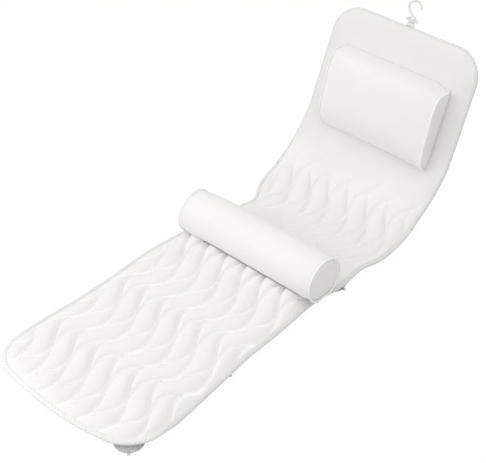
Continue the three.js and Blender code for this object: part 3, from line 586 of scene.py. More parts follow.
def under_bolster(along, across):
    """Height of the bolster's round underside, and far up where it isn't overhead."""
    radius = BOLSTER_RADIUS - PRESSED_IN
    off = np.minimum(np.abs(along - BOLSTER_AT), radius)
    past_end = np.maximum(np.abs(across - BOLSTER_ASIDE) - BOLSTER_HALF, 0)
    return BOLSTER_Z - MAT_LEVEL - np.sqrt(radius**2 - off**2) + PAST_END_SLOPE * past_end


def by_bolster(along, puff):
    """Padding pressed flat under the bolster, settled behind it and swollen in front of it."""
    away = eased((np.abs(along - BOLSTER_AT) - PRESS_REACH) / PRESS_FADE)
    behind = eased((along - BOLSTER_AT - PRESS_REACH) / SETTLED_OVER)
    away = away * np.where(along > BOLSTER_AT, between(SETTLED_SHARE, 1, behind), 1)
    puff = puff * between(PRESSED_SHARE, 1, away)
    ahead = eased(1 - (BOLSTER_AT - along - SWELL_AT) / SWELL_OVER) * (along < BOLSTER_AT) * away
    return puff + SWELL * ahead * between(SEAM_SWELL, 1, puff / PUFF)


def pillow_bed(along, across):
    """Depth of the hollow under the pillow's low end."""
    up = along - FOLDS[2]
    inside = eased((BED_HALF - np.abs(across)) / BED_FADE)
    return BED_DEPTH * inside * eased((up - BED_LOW) / BED_FADE) * eased((BED_TOP - up) / BED_TOP_FADE)


def padding(along, across):
    """Height of the mat's top above its backing."""
    smooth = smooth_share(along)
    at_foot = eased(1 - along / FOOT_ROLL_OVER)
    puff = by_bolster(along, between(quilted(along, across), SMOOTH_PUFF, smooth))
    puff = puff * between(1, FOOT_SHARE, at_foot) - pillow_bed(along, across)
    start = between(TAPE_SHOWS, PLAIN_TAPE_SHOWS, smooth)
    roll = between(EDGE_ROLL, FOOT_ROLL, at_foot)
    rise = 1 - (1 - np.clip((edge_distance(along, across) - start) / roll, 0, 1)) ** ROLL_POWER
    height = LIP_LEVEL + (STITCH_LEVEL - LIP_LEVEL + puff) * rise
    return np.minimum(height, under_bolster(along, across))


print("padding rises to", round(float(padding(leg_along, leg_across).max()), 1), "mm")

# %% [markdown]
# ## The padded mat
# A grid of points every few millimetres carries the padding, and a second grid below it is the net backing.
# A displaced plane would do the same, but computed points put the seams exactly on their lines. The mat
# crosses three fold lines, and it is cut into three lengths that meet in the middle of a panel, one fold in
# each. The walls at a cut have points of their own, so that the top keeps its smooth shading right up to the
# cut.

# %% Rows of points and marks on the cloth
ROW_STEP, COLUMNS, CORNER_ROWS = 2.7, 169, 26
PAD_INSET, BACKING_LEVEL, BEND_LEVEL = 3.0, -0.75, 4.0
# painted shade over the smooth upper end of the mat: where it begins and the length it comes in over
PAINTED_SHADE_START, PAINTED_SHADE_FADE = 880.0, 110.0
# where the painted highlight lies along the seams, and how much of it is lost behind the bolster
SEAM_CORE, SEAM_FADE, SEAM_FROM_EDGE, SEAM_EDGE_FADE = 0.8, 3.4, 8.0, 6.0
HIGHLIGHT_LOSS_BEHIND, HIGHLIGHT_LOSS_OVER = 0.6, 60.0
# name, start and end along the mat, the two bodies, and the stretch that bends between them
LENGTHS = (
    ("leg", 0.0, 860.0, ("leg_section", "lumbar_section"), (782.0, 848.0)),
    ("back", 860.0, 952.5, ("lumbar_section", "shoulder_section"), (872.0, 940.0)),
    ("head", 952.5, MAT_LENGTH, ("shoulder_section", "head_section"), (964.0, 1036.0)),
)


def bend_with(piece, stretch):
    start, end = (on_mat(a, 0.0, BEND_LEVEL) for a in stretch)
    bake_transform(piece)


def seam_highlight_share(along, across):
    """Share of the painted highlight: 1 on a stitch line, falling to 0 a few millimetres beside it."""
    near = np.min([np.abs(across - line) for line in lines_beside(along, across)], axis=0)
    inside = eased((edge_distance(along, across) - SEAM_FROM_EDGE) / SEAM_EDGE_FADE)
    highlight_kept = 1 - HIGHLIGHT_LOSS_BEHIND * eased((along - BOLSTER_AT) / HIGHLIGHT_LOSS_OVER)
    return eased(1 - (near - SEAM_CORE) / SEAM_FADE) * inside * highlight_kept * (1 - smooth_share(along))


def rows_between(low, high, inset):
    """Distances along the mat, close together round its corners."""
    stops = [low, high]
    turns = np.linspace(0, np.pi / 2, CORNER_ROWS)
    if low == 0.0:
        stops = [*(inset + (FOOT_CORNER - inset) * (1 - np.cos(turns))), high]
    if high == MAT_LENGTH:
        stops = [low, *(MAT_LENGTH - inset - (HEAD_CORNER - inset) * (1 - np.cos(turns[::-1])))]
    long = int(np.argmax(np.diff(stops)))
    count = int((stops[long + 1] - stops[long]) / ROW_STEP) + 2
    return np.array([*stops[:long], *np.linspace(stops[long], stops[long + 1], count), *stops[long + 2 :]])


def rim_of(rows, columns):
    """Points round the edge of a grid, in order."""
    right = [r * columns + columns - 1 for r in range(1, rows)]
    last = [(rows - 1) * columns + c for c in range(columns - 2, -1, -1)]
    left = [r * columns for r in range(rows - 2, 0, -1)]
    return [*range(columns), *right, *last, *left]


print("lengths:", [name for name, *_ in LENGTHS])

# %% Mat in three lengths
def mat_length(name, low, high):
    rows = rows_between(low, high, PAD_INSET)
    along = np.repeat(rows[:, None], COLUMNS, 1)
    left, right = -reach(rows, PAD_INSET, -1)[:, None], reach(rows, PAD_INSET, 1)[:, None]
    across = between(left, right, np.linspace(0, 1, COLUMNS)[None, :])
    top = on_mat(along, across, padding(along, across)).reshape(-1, 3)
    base = on_mat(along, across, BACKING_LEVEL).reshape(-1, 3)
    size, rim = len(top), rim_of(len(rows), COLUMNS)
    faces = grid_faces(len(rows), COLUMNS)
    under = [[a + size for a in reversed(f)] for f in faces]
    turn = np.arange(len(rim))
    after = np.roll(turn, -1)
    sides = (np.stack([after, turn, turn + len(rim), after + len(rim)], 1) + 2 * size).tolist()
    slots = [0] * len(faces) + [1] * len(under) + [0] * len(sides)
    layout = flat_layout(across, along)
    points = np.concatenate([top, base, top[rim], base[rim]])
    uv = np.concatenate([layout, layout, layout[rim], layout[rim]])
    piece = new_piece(f"mat_{name}", points, faces + under + sides, [quilt_cloth, backing_cloth], uv, slots)
    rest = np.zeros(len(points) - size)
    # painted shade over the smooth upper end of the mat
    painted_shade = eased((along - PAINTED_SHADE_START) / PAINTED_SHADE_FADE)
    # painted highlight along the stitch lines
    mark_points(piece, SEAM_HIGHLIGHT, np.concatenate([seam_highlight_share(along, across).ravel(), rest]))
    mark_points(piece, PAINTED_SHADE, np.concatenate([painted_shade.ravel(), rest]))
    return piece


mats = {}
for name, low, high, bodies, stretch in LENGTHS:
    mats[name] = mat_length(name, low, high)
    bend_with(mats[name], stretch)
    print(mats[name].name, "faces:", len(mats[name].data.polygons))
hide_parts("leg_quilt_cover", "leg_spacer_core", "leg_backing")
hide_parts("lumbar_quilt_cover", "lumbar_spacer_core", "lumbar_backing", "shoulder_cover",
            "shoulder_spacer_core", "shoulder_backing")
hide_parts("head_cover", "head_spacer_core", "head_backing")

# %% [markdown]
# ## Edge binding
# A knitted tape is folded over the raw edges and sewn through. Round the foot it shows its open mesh; along
# the sides a painted shade darkens it. A solidified strip would lose the fold, so the folded tape is drawn
# once in section and carried round the outline, a ring of points at each station. It is cut at the same
# places as the mat.

# %% Folded tape round the edge
TAPE_OUTSIDE = ((10.2, 5.4), (9.8, 6.0), (8.2, 6.4), (6.0, 6.5), (4.0, 6.2), (2.2, 5.4), (0.9, 4.2),
                (0.2, 2.9), (0.0, 2.0), (0.2, 1.0), (0.9, -0.3), (2.2, -1.4), (4.0, -2.0), (6.0, -2.25),
                (10.0, -2.25))
TAPE_INSIDE = ((10.0, -1.3), (3.0, -1.1), (2.1, 0.2), (2.0, 2.0), (2.1, 3.8), (3.0, 5.2))
SIDE_STEP, CORNER_TURNS, TAPE_STEP = 6.0, 22, 5.0
# painted shade on the tape's sides, beginning this far from the foot and coming in over this length
FOOT_BAND, FOOT_BAND_FADE = 20.0, 90.0


def side_stations(sign, places):
    """Stations along one side: distance along, across, and the way in from the edge."""
    return [(a, sign * float(half_width(a, sign)), 0.0, -sign) for a in places]


def corner_stations(radius, end, sign, turns):
    centre = from_end(radius, end)
    middle = sign * (float(half_width(centre, sign)) - radius)
    way = 1 if end else -1
    return [(centre + way * radius * np.sin(t), middle + sign * radius * np.cos(t), -way * np.sin(t),
             -sign * np.cos(t)) for t in turns]


def edge_paths(low, high):
    """Runs of stations along the outline of one length of the mat."""
    stop = high - HEAD_CORNER if high == MAT_LENGTH else high
    places = [*np.arange(low if low else FOOT_CORNER, stop, SIDE_STEP), stop]
    turns = np.linspace(0, np.pi / 2, CORNER_TURNS)
    if low == 0.0:
        runs = [side_stations(-1, places[::-1]) + corner_stations(FOOT_CORNER, 0, -1, turns[1:])
                + corner_stations(FOOT_CORNER, 0, 1, turns[::-1]) + side_stations(1, places[1:])]
    elif high == MAT_LENGTH:
        runs = [side_stations(1, places) + corner_stations(HEAD_CORNER, 1, 1, turns[1:])
                + corner_stations(HEAD_CORNER, 1, -1, turns[::-1]) + side_stations(-1, places[::-1][1:])]
    else:
        runs = [side_stations(sign, places) for sign in (-1, 1)]
    return [np.array(run) for run in runs]


def fine_path(path, step):
    """The same path with stations at an even step."""
    length = run_length(path[:, :2])
    marks = np.linspace(0, length[-1], max(2, int(round(length[-1] / step)) + 1))
    return marks, resampled(marks, length, path)


def inside_edge(path, inset):
    """Distance along and across, so far in from the stations of a path."""
    return path[:, 0, None] + path[:, 2, None] * inset, path[:, 1, None] + path[:, 3, None] * inset


def folded_tape(name, path):
    section = np.array(TAPE_OUTSIDE + TAPE_INSIDE)
    marks, path = fine_path(path, TAPE_STEP)
    along, across = inside_edge(path, section[None, :, 0])
    layout = flat_layout(marks[:, None], run_length(section)[None, :])
    piece = tube(name, on_mat(along, across, section[None, :, 1]), edge_cloth, layout)
    # painted shade along the sides of the tape, none round the foot
    side_shade = eased((path[:, 0, None] - FOOT_BAND) / FOOT_BAND_FADE)
    mark_points(piece, PAINTED_SHADE, np.broadcast_to(side_shade, along.shape))
    return piece


for name, low, high, bodies, stretch in LENGTHS:
    paths = edge_paths(low, high)
    for side, path in zip(("left", "right") if len(paths) == 2 else ("round",), paths):
        tape = folded_tape(f"binding_{name}_{side}", path)
        bend_with(tape, stretch)
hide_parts("leg_binding")
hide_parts("lumbar_binding_left", "shoulder_binding_left")
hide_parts("lumbar_binding_right", "shoulder_binding_right")
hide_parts("head_binding")

# %% [markdown]
# ## Stitching
# Every seam is a run of short threads. A dashed texture would look painted on from close by, so each thread
# is a slim four-sided spindle lying along the seam. They are gathered into one mesh for each length of the
# mat.

# %% Threads along seams
STITCH, STITCH_GAP, THREAD = 3.4, 1.1, 0.42
SPINDLE = ((0.0, 0.35), (0.22, 1.0), (0.78, 1.0), (1.0, 0.35))
LOOK_AHEAD, SPINDLE_TILT = 0.5, (0.31, 0.17, 0.93)
QUILT_THREAD_START, QUILT_THREAD_STEP, QUILT_THREAD_PAST, FEWEST_PLACES = 6.0, 3.0, 25.0, 4
THREAD_FROM_EDGE, THREAD_FROM_PRESS, THREAD_LIFT = 14.0, 16.0, 0.1
TAPE_THREAD_INSET, TAPE_THREAD_STEP, TAPE_THREAD_LEVELS = 8.4, 4.0, (6.45, -2.3)


def spindles(lines):
    """Points and faces of threads along lines of points in metres."""
    threads = []
    for line in lines:
        length = run_length(line) / MM
        starts = np.arange(STITCH_GAP, length[-1] - STITCH, STITCH + STITCH_GAP)
        rings = []
        for place, size in SPINDLE:
            marks = starts + place * STITCH
            middle = resampled(marks, length, line)
            ahead = unit(resampled(marks + LOOK_AHEAD, length, line) - middle)
            side = unit(np.cross(ahead, SPINDLE_TILT))
            up = np.cross(side, ahead)
            rings.append(np.stack([middle + THREAD * MM * size * d for d in (side, up, -side, -up)], 1))
        threads.append(np.stack(rings, 1))
    points = np.concatenate(threads).reshape(-1, 3)
    corners = 4 * len(SPINDLE)
    skin = grid_faces(len(SPINDLE), 4, False, True) + [[3, 2, 1, 0], list(range(corners - 4, corners))]
    faces = [[first + c for c in face] for first in range(0, len(points), corners) for face in skin]
    return points, faces


def quilt_lines(low, high):
    """The visible runs of the stitch lines over one length of the mat."""
    start, stop = max(low, QUILT_THREAD_START), min(high, QUILT_END + QUILT_THREAD_PAST)
    along = np.arange(start, stop, QUILT_THREAD_STEP)
    lines = []
    if len(along) < FEWEST_PLACES:
        return lines
    for k in LINE_NUMBERS:
        for line in (main_line(k, along), cross_line(k, along)):
            keep = edge_distance(along, line) > THREAD_FROM_EDGE
            keep &= np.abs(along - BOLSTER_AT) > PRESS_REACH + THREAD_FROM_PRESS
            for run in np.split(np.arange(len(along)), np.where(np.diff(keep.astype(int)) != 0)[0] + 1):
                if keep[run[0]] and len(run) >= FEWEST_PLACES:
                    a, x = along[run], line[run]
                    lines.append(on_mat(a, x, padding(a, x) + THREAD_LIFT))
    return lines


for name, low, high, bodies, stretch in LENGTHS:
    lines = quilt_lines(low, high)
    for path in edge_paths(low, high):
        _, path = fine_path(path, TAPE_THREAD_STEP)
        along, across = (v[:, 0] for v in inside_edge(path, TAPE_THREAD_INSET))
        lines += [on_mat(along, across, level) for level in TAPE_THREAD_LEVELS]
    points, faces = spindles(lines)
    threads = new_piece(f"stitching_{name}", points, faces, [sewing_thread])
    bend_with(threads, stretch)
    print(threads.name, "faces:", len(faces))

# %% [markdown]
# ## Stuffing by simulation
# The bolster and the pillow are sewn cases full of fibre. A subdivided block would look like plastic, so
# their shape comes from pressure: a case slightly smaller than the solid is remeshed evenly, then blown up
# as cloth for a few frames with gravity off. Points along the piping and on the side that lies on the mat
# are pinned, and no point may move further than a cap.

# %% A stuffed case
SWELL_FRAMES, CLOTH_QUALITY = 20, 4


def coordinates(mesh):
    flat = np.zeros(len(mesh.vertices) * 3)
    mesh.vertices.foreach_get("co", flat)
    return flat.reshape(-1, 3)


def evaluated(piece):
    return piece.evaluated_get(bpy.context.evaluated_depsgraph_get())


def remeshed(piece, voxel):
    """Gives a closed piece an even mesh, with its materials kept."""
    even = piece.modifiers.new("even", "REMESH")
    even.mode, even.voxel_size = "VOXEL", voxel
    shape = bpy.data.meshes.new_from_object(evaluated(piece))
    piece.modifiers.clear()
    materials = list(piece.data.materials)
    piece.data = shape
    shape.materials.clear()
    for material in materials:
        shape.materials.append(material)


def swollen(piece, pressure, cap, pinned):
    """Points of a piece blown up as cloth, none of them moved further than the cap."""
    rest = coordinates(piece.data)
    held = piece.vertex_groups.new(name="held")
    held.add(np.where(pinned(rest))[0].tolist(), 1.0, "REPLACE")
    cloth = piece.modifiers.new("swell", "CLOTH")
    cloth.settings.vertex_group_mass = "held"
    cloth.settings.use_pressure = True
    cloth.settings.uniform_pressure_force = pressure
    cloth.settings.effector_weights.gravity = 0.0
    cloth.settings.quality = CLOTH_QUALITY
    scene = bpy.context.scene
    for step in range(1, SWELL_FRAMES + 1):
        scene.frame_set(step)
    move = coordinates(evaluated(piece).data) - rest
    size = np.linalg.norm(move, axis=1, keepdims=True)
    piece.modifiers.clear()
    piece.vertex_groups.clear()
    scene.frame_set(1)
    print(piece.name, "swelled by up to", round(float(size.max()) / MM, 1), "mm, capped at", cap / MM)
    return rest + move * np.minimum(1, cap / np.maximum(size, SMALL))


def stuffed(piece, voxel, pressure, cap, pinned):
    """Remeshes a closed piece and swells it; pinned(points) tells which points stay."""
    remeshed(piece, voxel)
    shape = piece.data
    shape.vertices.foreach_set("co", swollen(piece, pressure, cap, pinned).ravel())
    shape.polygons.foreach_set("use_smooth", np.ones(len(shape.polygons), bool))
    shape.update()
    rounder = piece.modifiers.new("rounder", "SUBSURF")
    rounder.levels = rounder.render_levels = 1
    return piece


print("stuffing is", "simulated")

# %% [markdown]
# ## Bolster
# The bolster is a tube of the same knit with a disc sewn into each end, and a piping cord in that seam. It
# is a little flat where it lies on the mat, and its left end sags a little. The case is stuffed as above,
# and the cord is added after that, because a remesh would melt it into the cloth.

# %% Bolster roll
END_SAG, END_SAG_OVER = 5.0, 80.0
# past the end of the roll, and the radius there
BOLSTER_END = ((2.6, 12), (2.2, 30), (0.6, 42), (-1.0, 45.0), (-3.0, 46.6), (-9.0, 48.0))
CASE_RADIUS, CASE_FROM_END, CASE_RINGS = 49.4, 20.0, 40
CASE_VOXEL, CASE_PRESSURE, BOLSTER_CAP, PIN_REACH = 0.005, 4.0, 0.006, 4.0
CORD_RADIUS, CORD_SUNK, CORD_POINTS, CORD_SIDES = 2.3, 1.0, 96, 10
BOLSTER_Y = (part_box("bolster_cover")[0].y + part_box("bolster_cover")[1].y) / 2 / MM


def bolster_ring(x, radius, sides=64):
    turns = round_turns(sides)
    y = BOLSTER_Y + radius * np.cos(turns)
    z = np.maximum(BOLSTER_Z + radius * np.sin(turns), BOLSTER_BASE + BOLSTER_RADIUS - radius)
    z = z - END_SAG * eased((-x - BOLSTER_HALF + END_SAG_OVER) / END_SAG_OVER)
    return np.stack([np.full(sides, BOLSTER_ASIDE + x), y, z], 1) * MM


def bolster_rings():
    """Rings from the middle of one end disc to the middle of the other."""
    straight = BOLSTER_HALF - CASE_FROM_END
    rings = [bolster_ring(-BOLSTER_HALF - past, radius) for past, radius in BOLSTER_END]
    rings += [bolster_ring(x, CASE_RADIUS) for x in np.linspace(-straight, straight, CASE_RINGS)]
    return rings + [bolster_ring(BOLSTER_HALF + past, radius) for past, radius in BOLSTER_END[::-1]]


def bolster_pins(points):
    x, z = points[:, 0] / MM - BOLSTER_ASIDE, points[:, 2] / MM
    return (np.abs(x) > BOLSTER_HALF - PIN_REACH) | (z < BOLSTER_BASE + PIN_REACH)


def cord_rings(path, radius):
    """Rings of a round cord along a closed path in metres, with one radius or one for each point."""
    radius = np.broadcast_to(radius, len(path))[:, None]
    side = np.array((1.0, 0.0, 0.0))
    up = np.cross(unit(np.roll(path, -1, 0) - np.roll(path, 1, 0)), side)
    return np.stack([path + radius * (np.cos(t) * up + np.sin(t) * side) for t in round_turns(CORD_SIDES)], 1)


roll = tube("bolster_roll", bolster_rings(), pillow_cloth)
bolster = stuffed(roll, CASE_VOXEL, CASE_PRESSURE, BOLSTER_CAP, bolster_pins)
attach(bolster, "bolster")
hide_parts("bolster_cover", "bolster_core", "bolster_end_left", "bolster_end_right")
for side, sign in (("left", -1), ("right", 1)):
    path = bolster_ring(sign * BOLSTER_HALF, BOLSTER_RADIUS - CORD_RADIUS - CORD_SUNK, CORD_POINTS)
    rings = cord_rings(path, CORD_RADIUS * MM)
    cord = tube(f"bolster_piping_{side}_cord", rings, piping_highlight_cloth, closed_path=True)
    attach(cord, "bolster")
    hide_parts(f"bolster_piping_{side}")
print("bolster faces:", len(bolster.data.polygons))

# %% [markdown]
# ## Head pillow
# The pillow is sewn to the mat along its top edge. Its front is one crowned panel that wraps over the top
# and bottom, and a narrow gusset closes each side, with piping along the seam between them. It is fuller
# towards its top, thins out at the bottom, and droops at one top corner. A stuffed box would be the same
# all along, so the case is drawn section by section in the head panel's own plane, and then stuffed.

# %% Pillow case
PILLOW_LOW, PILLOW_HEIGHT, PILLOW_HALF, PILLOW_ASIDE = -6.0, 193.0, 140.0, 5.0
PILLOW_BASE, PILLOW_FULL, PILLOW_END, PILLOW_LEAN = 13.9, 66.0, 48.0, 0.2
FRONT_POINTS, BACK_POINTS, UP_POWER, OUT_POWER = 56, 16, 0.66, 0.46
TOP_TAPER, LOW_TAPER, LOW_END_TAPERS = 0.05, 0.2, (0.12, 0.04)
SEWN_DOWN, SEWN_FROM, SEWN_OVER = 3.0, 0.86, 0.12
FOLD_SLOPE, FOLD_FROM = 0.45, 4.0
DROOP, DROOP_FROM = 9.0, 0.72
# past the side of the pillow, and how far its section is drawn in there
PILLOW_SIDE = ((3.8, 20.0), (3.3, 10.0), (2.2, 6.0), (0.6, 4.2), (-1.5, 3.2))
FRONT_INSET, FRONT_SHARE, FRONT_RINGS = 1.6, 0.97, 50
PILLOW_CAP, SIDE_PIN_REACH = 0.007, 4.5


def pillow_outline(share, inset):
    """Height on the panel and distance off it, round the section at a share of the half width."""
    crown = 1 - share**2
    half = PILLOW_HEIGHT / 2 - inset
    turns = np.linspace(0, np.pi, FRONT_POINTS)
    up = np.sign(np.cos(turns)) * np.abs(np.cos(turns)) ** UP_POWER
    out = np.sin(turns).clip(0, 1) ** OUT_POWER * (1 + PILLOW_LEAN * up)
    low_taper = between(LOW_END_TAPERS[int(share > 0)], LOW_TAPER, crown)
    out *= (1 - np.exp(-(1 - up) / TOP_TAPER)) * (1 - np.exp(-(1 + up) / low_taper))
    front = np.stack([half * up, (between(PILLOW_END, PILLOW_FULL, crown) - inset) * out], 1)
    back = np.stack([np.linspace(-half, half, BACK_POINTS + 2)[1:-1], np.zeros(BACK_POINTS)], 1)
    ring = np.concatenate([front, back])
    ring[:, 1] -= SEWN_DOWN * eased((ring[:, 0] / half - SEWN_FROM) / SEWN_OVER)
    ring = ring + np.array((PILLOW_LOW + PILLOW_HEIGHT / 2, PILLOW_BASE + inset / 2))
    ring[:, 1] += FOLD_SLOPE * np.maximum(FOLD_FROM - ring[:, 0], 0)
    return ring


def droop(x, along):
    """How far a point lies lower on the panel, because the right top corner droops."""
    upper = eased((along - PILLOW_LOW) / PILLOW_HEIGHT)
    return DROOP * upper * eased((x / PILLOW_HALF - DROOP_FROM) / (1 - DROOP_FROM))


def pillow_ring(x, share, inset):
    outline = pillow_outline(share, inset)
    along = outline[:, 0] - droop(x, outline[:, 0])
    return on_panel(HEAD, PILLOW_ASIDE + x, along, outline[:, 1])


def pillow_rings():
    shares = np.linspace(-FRONT_SHARE, FRONT_SHARE, FRONT_RINGS)
    rings = [pillow_ring(-PILLOW_HALF - past, -1.0, inset) for past, inset in PILLOW_SIDE]
    rings += [pillow_ring(share * PILLOW_HALF, share, FRONT_INSET) for share in shares]
    return rings + [pillow_ring(PILLOW_HALF + past, 1.0, inset) for past, inset in PILLOW_SIDE[::-1]]


HEAD_START = on_panel(HEAD, 0, 0, 0)
HEAD_OUT = on_panel(HEAD, 0, 0, 1 / MM) - HEAD_START


def off_panel(points):
    """Distance in millimetres of points in the room off the head panel."""
    return (points - HEAD_START) @ HEAD_OUT / MM


def pillow_pins(points):
    aside = np.abs(points[:, 0] / MM - PILLOW_ASIDE)
    return (aside > PILLOW_HALF - SIDE_PIN_REACH) | (off_panel(points) < PILLOW_BASE + PIN_REACH)


case = tube("head_pillow_case", pillow_rings(), pillow_cloth)
pillow = stuffed(case, CASE_VOXEL, CASE_PRESSURE, PILLOW_CAP, pillow_pins)
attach(pillow, "head_pillow")
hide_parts("pillow_cover", "pillow_fill", "pillow_gusset_left", "pillow_gusset_right")
print("pillow faces:", len(pillow.data.polygons))

# %% [markdown]
# ## Pillow piping
# A cord is sewn into the seam between the front and each gusset. On the right it stands proud, on the left
# it is pulled flat. Both follow the rim of the case, and thin out where they reach the mat.

# %% Cords along the pillow's sides
FLAT_CORD_RADIUS, CORD_PAST, CORD_INSET, CORD_FULL_AT, CORD_THIN = 1.3, 0.8, 2.4, 14.0, 0.3
for side, sign, radius in (("left", -1, FLAT_CORD_RADIUS), ("right", 1, CORD_RADIUS)):
    path = pillow_ring(sign * (PILLOW_HALF + CORD_PAST), sign, CORD_INSET)
    fullness = np.clip((off_panel(path) - PILLOW_BASE) / CORD_FULL_AT, CORD_THIN, 1)
    rings = cord_rings(path, radius * MM * fullness)
    cord = tube(f"pillow_piping_{side}_cord", rings, piping_highlight_cloth, closed_path=True)
    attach(cord, "head_pillow")
    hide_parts(f"pillow_piping_{side}")
    print(cord.name, "length:", round(float(run_length(path)[-1]), 2), "m")

# %% [markdown]
# ## Flat tapes
# Webbing carries the suction cups across the underside, hook-and-loop strips hold the bolster, and a seam
# tape holds the pillow's top edge. All are the same flat bar with its edges cut, so one function lays a bar
# across a panel, and its flat layout goes with it for the weave.

# %% Strips and seam tape
TAPE_STATION, FEWEST_STATIONS = 4.0, 8
CUT_SHARE, MOST_CUT = 0.35, 0.4
STRIP_HALF, STRIP_WIDTH, STRIP_THICK = 145.0, 24.0, 1.2
SEAM_LOW, SEAM_WIDTH, SEAM_THICK, SEAM_INSET = 13.4, 10.0, 1.2, 1.5
SEAM_THREAD_INSET, SEAM_THREAD_PAST, SEAM_THREAD_LEVEL, SEAM_PLACES = 3.0, 2.0, 1.3, 90
PILLOW_TOP = PILLOW_LOW + PILLOW_HEIGHT


def bar_section(half, low, high, cut_across, cut_up):
    """Eight points round a flat bar with its edges cut."""
    inner, under, over = half - cut_across, low + cut_up, high - cut_up
    return np.array([(-half, under), (-inner, low), (inner, low), (half, under), (half, over), (inner, high),
                     (-inner, high), (-half, over)])


def flat_tape(name, panel, along, low, half, width, thick, material):
    """A tape across the mat on one panel. Its distance along the panel is one number or a function of x."""
    x = np.linspace(-half, half, max(FEWEST_STATIONS, int(half / TAPE_STATION)))[:, None]
    cut = min(CUT_SHARE * thick, MOST_CUT)
    section = bar_section(width / 2, low, low + thick, cut, cut)
    middle = along(x) if callable(along) else along
    rings = on_panel(panel, x, middle + section[None, :, 0], section[None, :, 1])
    return tube(name, rings, material, flat_layout(x, run_length(section)[None, :]))


def pillow_top(x):
    return PILLOW_TOP - droop(x, PILLOW_TOP)


for node, body in (("bolster_loop_strip", "leg_section"), ("bolster_hook_strip", "bolster")):
    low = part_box(node)[0].z / MM - MAT_LEVEL
    strip = flat_tape(f"{node}_tape", LEG, BOLSTER_AT, low, STRIP_HALF, STRIP_WIDTH, STRIP_THICK,
                      fastener_cloth)
    strip.location.x = (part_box(node)[0].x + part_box(node)[1].x) / 2
    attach(strip, body)
    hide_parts(node)

seam = flat_tape("pillow_seam", HEAD, lambda x: pillow_top(x) - SEAM_INSET, SEAM_LOW, PILLOW_HALF, SEAM_WIDTH,
                 SEAM_THICK, seam_cloth)
seam.location.x = PILLOW_ASIDE * MM
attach(seam, "head_section")
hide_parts("pillow_seam_tape")
seam_half = PILLOW_HALF - SEAM_THREAD_INSET
seam_x = np.linspace(-seam_half, seam_half, SEAM_PLACES)
seam_line = on_panel(HEAD, PILLOW_ASIDE + seam_x, pillow_top(seam_x) + SEAM_THREAD_PAST,
                     SEAM_LOW + SEAM_THREAD_LEVEL)
points, faces = spindles([seam_line])
seam_threads = new_piece("stitching_pillow_seam", points, faces, [sewing_thread])
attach(seam_threads, "head_section")
print("strips and seam tape ready")

# %% [markdown]
# ## Suction cups
# A cup is turned: a mushroom head held in the webbing, a neck, a thin bell and a flat rim, with a small tab
# to peel it off by. A screw modifier could turn it, but a profile and rings need no modifier. Each row of
# cups hangs on one webbing tape, with a sewn pocket round each head.

# %% Cups on their tapes
RIM_LEVEL = -20.75
# radius and height above the rim, from the middle of the dish over the rim to the top of the head
CUP_PROFILE = ((0.0, 3.2), (6.0, 3.1), (12.0, 2.6), (18.0, 1.7), (22.5, 0.7), (25.0, 0.0), (28.4, 0.0),
               (29.0, 0.5), (28.7, 1.3), (26.0, 2.6), (22.0, 4.2), (18.0, 6.0), (14.0, 8.0), (11.0, 9.8),
               (8.0, 11.2), (5.0, 12.2), (3.9, 13.2), (3.7, 14.6), (3.7, 16.5), (4.4, 16.75), (6.6, 16.8),
               (7.0, 17.2), (6.9, 17.9), (6.2, 18.3), (0.0, 18.4))
POCKET = ((3.95, -5.55), (6.5, -5.6), (8.2, -5.35), (8.9, -4.4), (9.2, -3.2), (10.0, -2.35), (10.0, -2.1),
          (7.6, -2.2), (7.4, -4.1), (3.95, -4.4))
CUP_SIDES, POCKET_SIDES = 48, 32
# distance from the cup's middle, half width and half thickness
TAB = ((26.0, 2.4, 0.7), (31.0, 2.4, 0.8), (32.5, 2.8, 0.9), (34.3, 2.6, 0.9), (35.0, 1.6, 0.5))
TAB_LEVEL, TAB_BEVEL = 1.8, 0.8
TAPE_TOP, TAPE_THICK, TAPE_WIDTH, TAPE_TAIL = -1.05, 1.2, 25.0, 10.0
# row, panel, distance along the panel, distance of the cups from the middle, angle of the tab
ROWS = (("foot", LEG, 57.0, 150.0, 45.0), ("calf", LEG, 300.0, 140.0, 0.0), ("thigh", LEG, 642.0, 143.0, 0.0),
        ("seat", LEG, 770.0, 130.0, 180.0), ("shoulder", SHOULDER, 47.5, 130.0, 180.0),
        ("head", HEAD, 205.0, 130.0, 180.0))
CARRIERS = {LEG: "leg_section", SHOULDER: "shoulder_section", HEAD: "head_section"}


def turned(panel, x, along, profile, base, sides):
    turns = round_turns(sides)
    return [on_panel(panel, x + r * np.cos(turns), along + r * np.sin(turns), base + h) for r, h in profile]


def join(pieces):
    """Joins meshes into the first of them."""
    with bpy.context.temp_override(active_object=pieces[0], selected_editable_objects=pieces):
        bpy.ops.object.join()
    return pieces[0]


def cup_tab(panel, x, along, angle):
    """Small rounded tab on the rim, pointing at an angle in degrees."""
    turn = math.radians(angle)
    rings = []
    for out, half, thick in TAB:
        flat = TAB_BEVEL * half
        section = np.array([(-half, 0), (-flat, -thick), (flat, -thick), (half, 0), (flat, thick),
                            (-flat, thick)])
        px = x + out * math.cos(turn) - section[:, 0] * math.sin(turn)
        py = along + out * math.sin(turn) + section[:, 0] * math.cos(turn)
        rings.append(on_panel(panel, px, py, RIM_LEVEL + TAB_LEVEL + section[:, 1]))
    return tube("tab", rings, clear_vinyl)


def cup_pocket(panel, x, along):
    rings = turned(panel, x, along, POCKET, 0.0, POCKET_SIDES)
    return tube("pocket", rings, strap_cloth, np.zeros((len(POCKET) * POCKET_SIDES, 2)), capped=False)


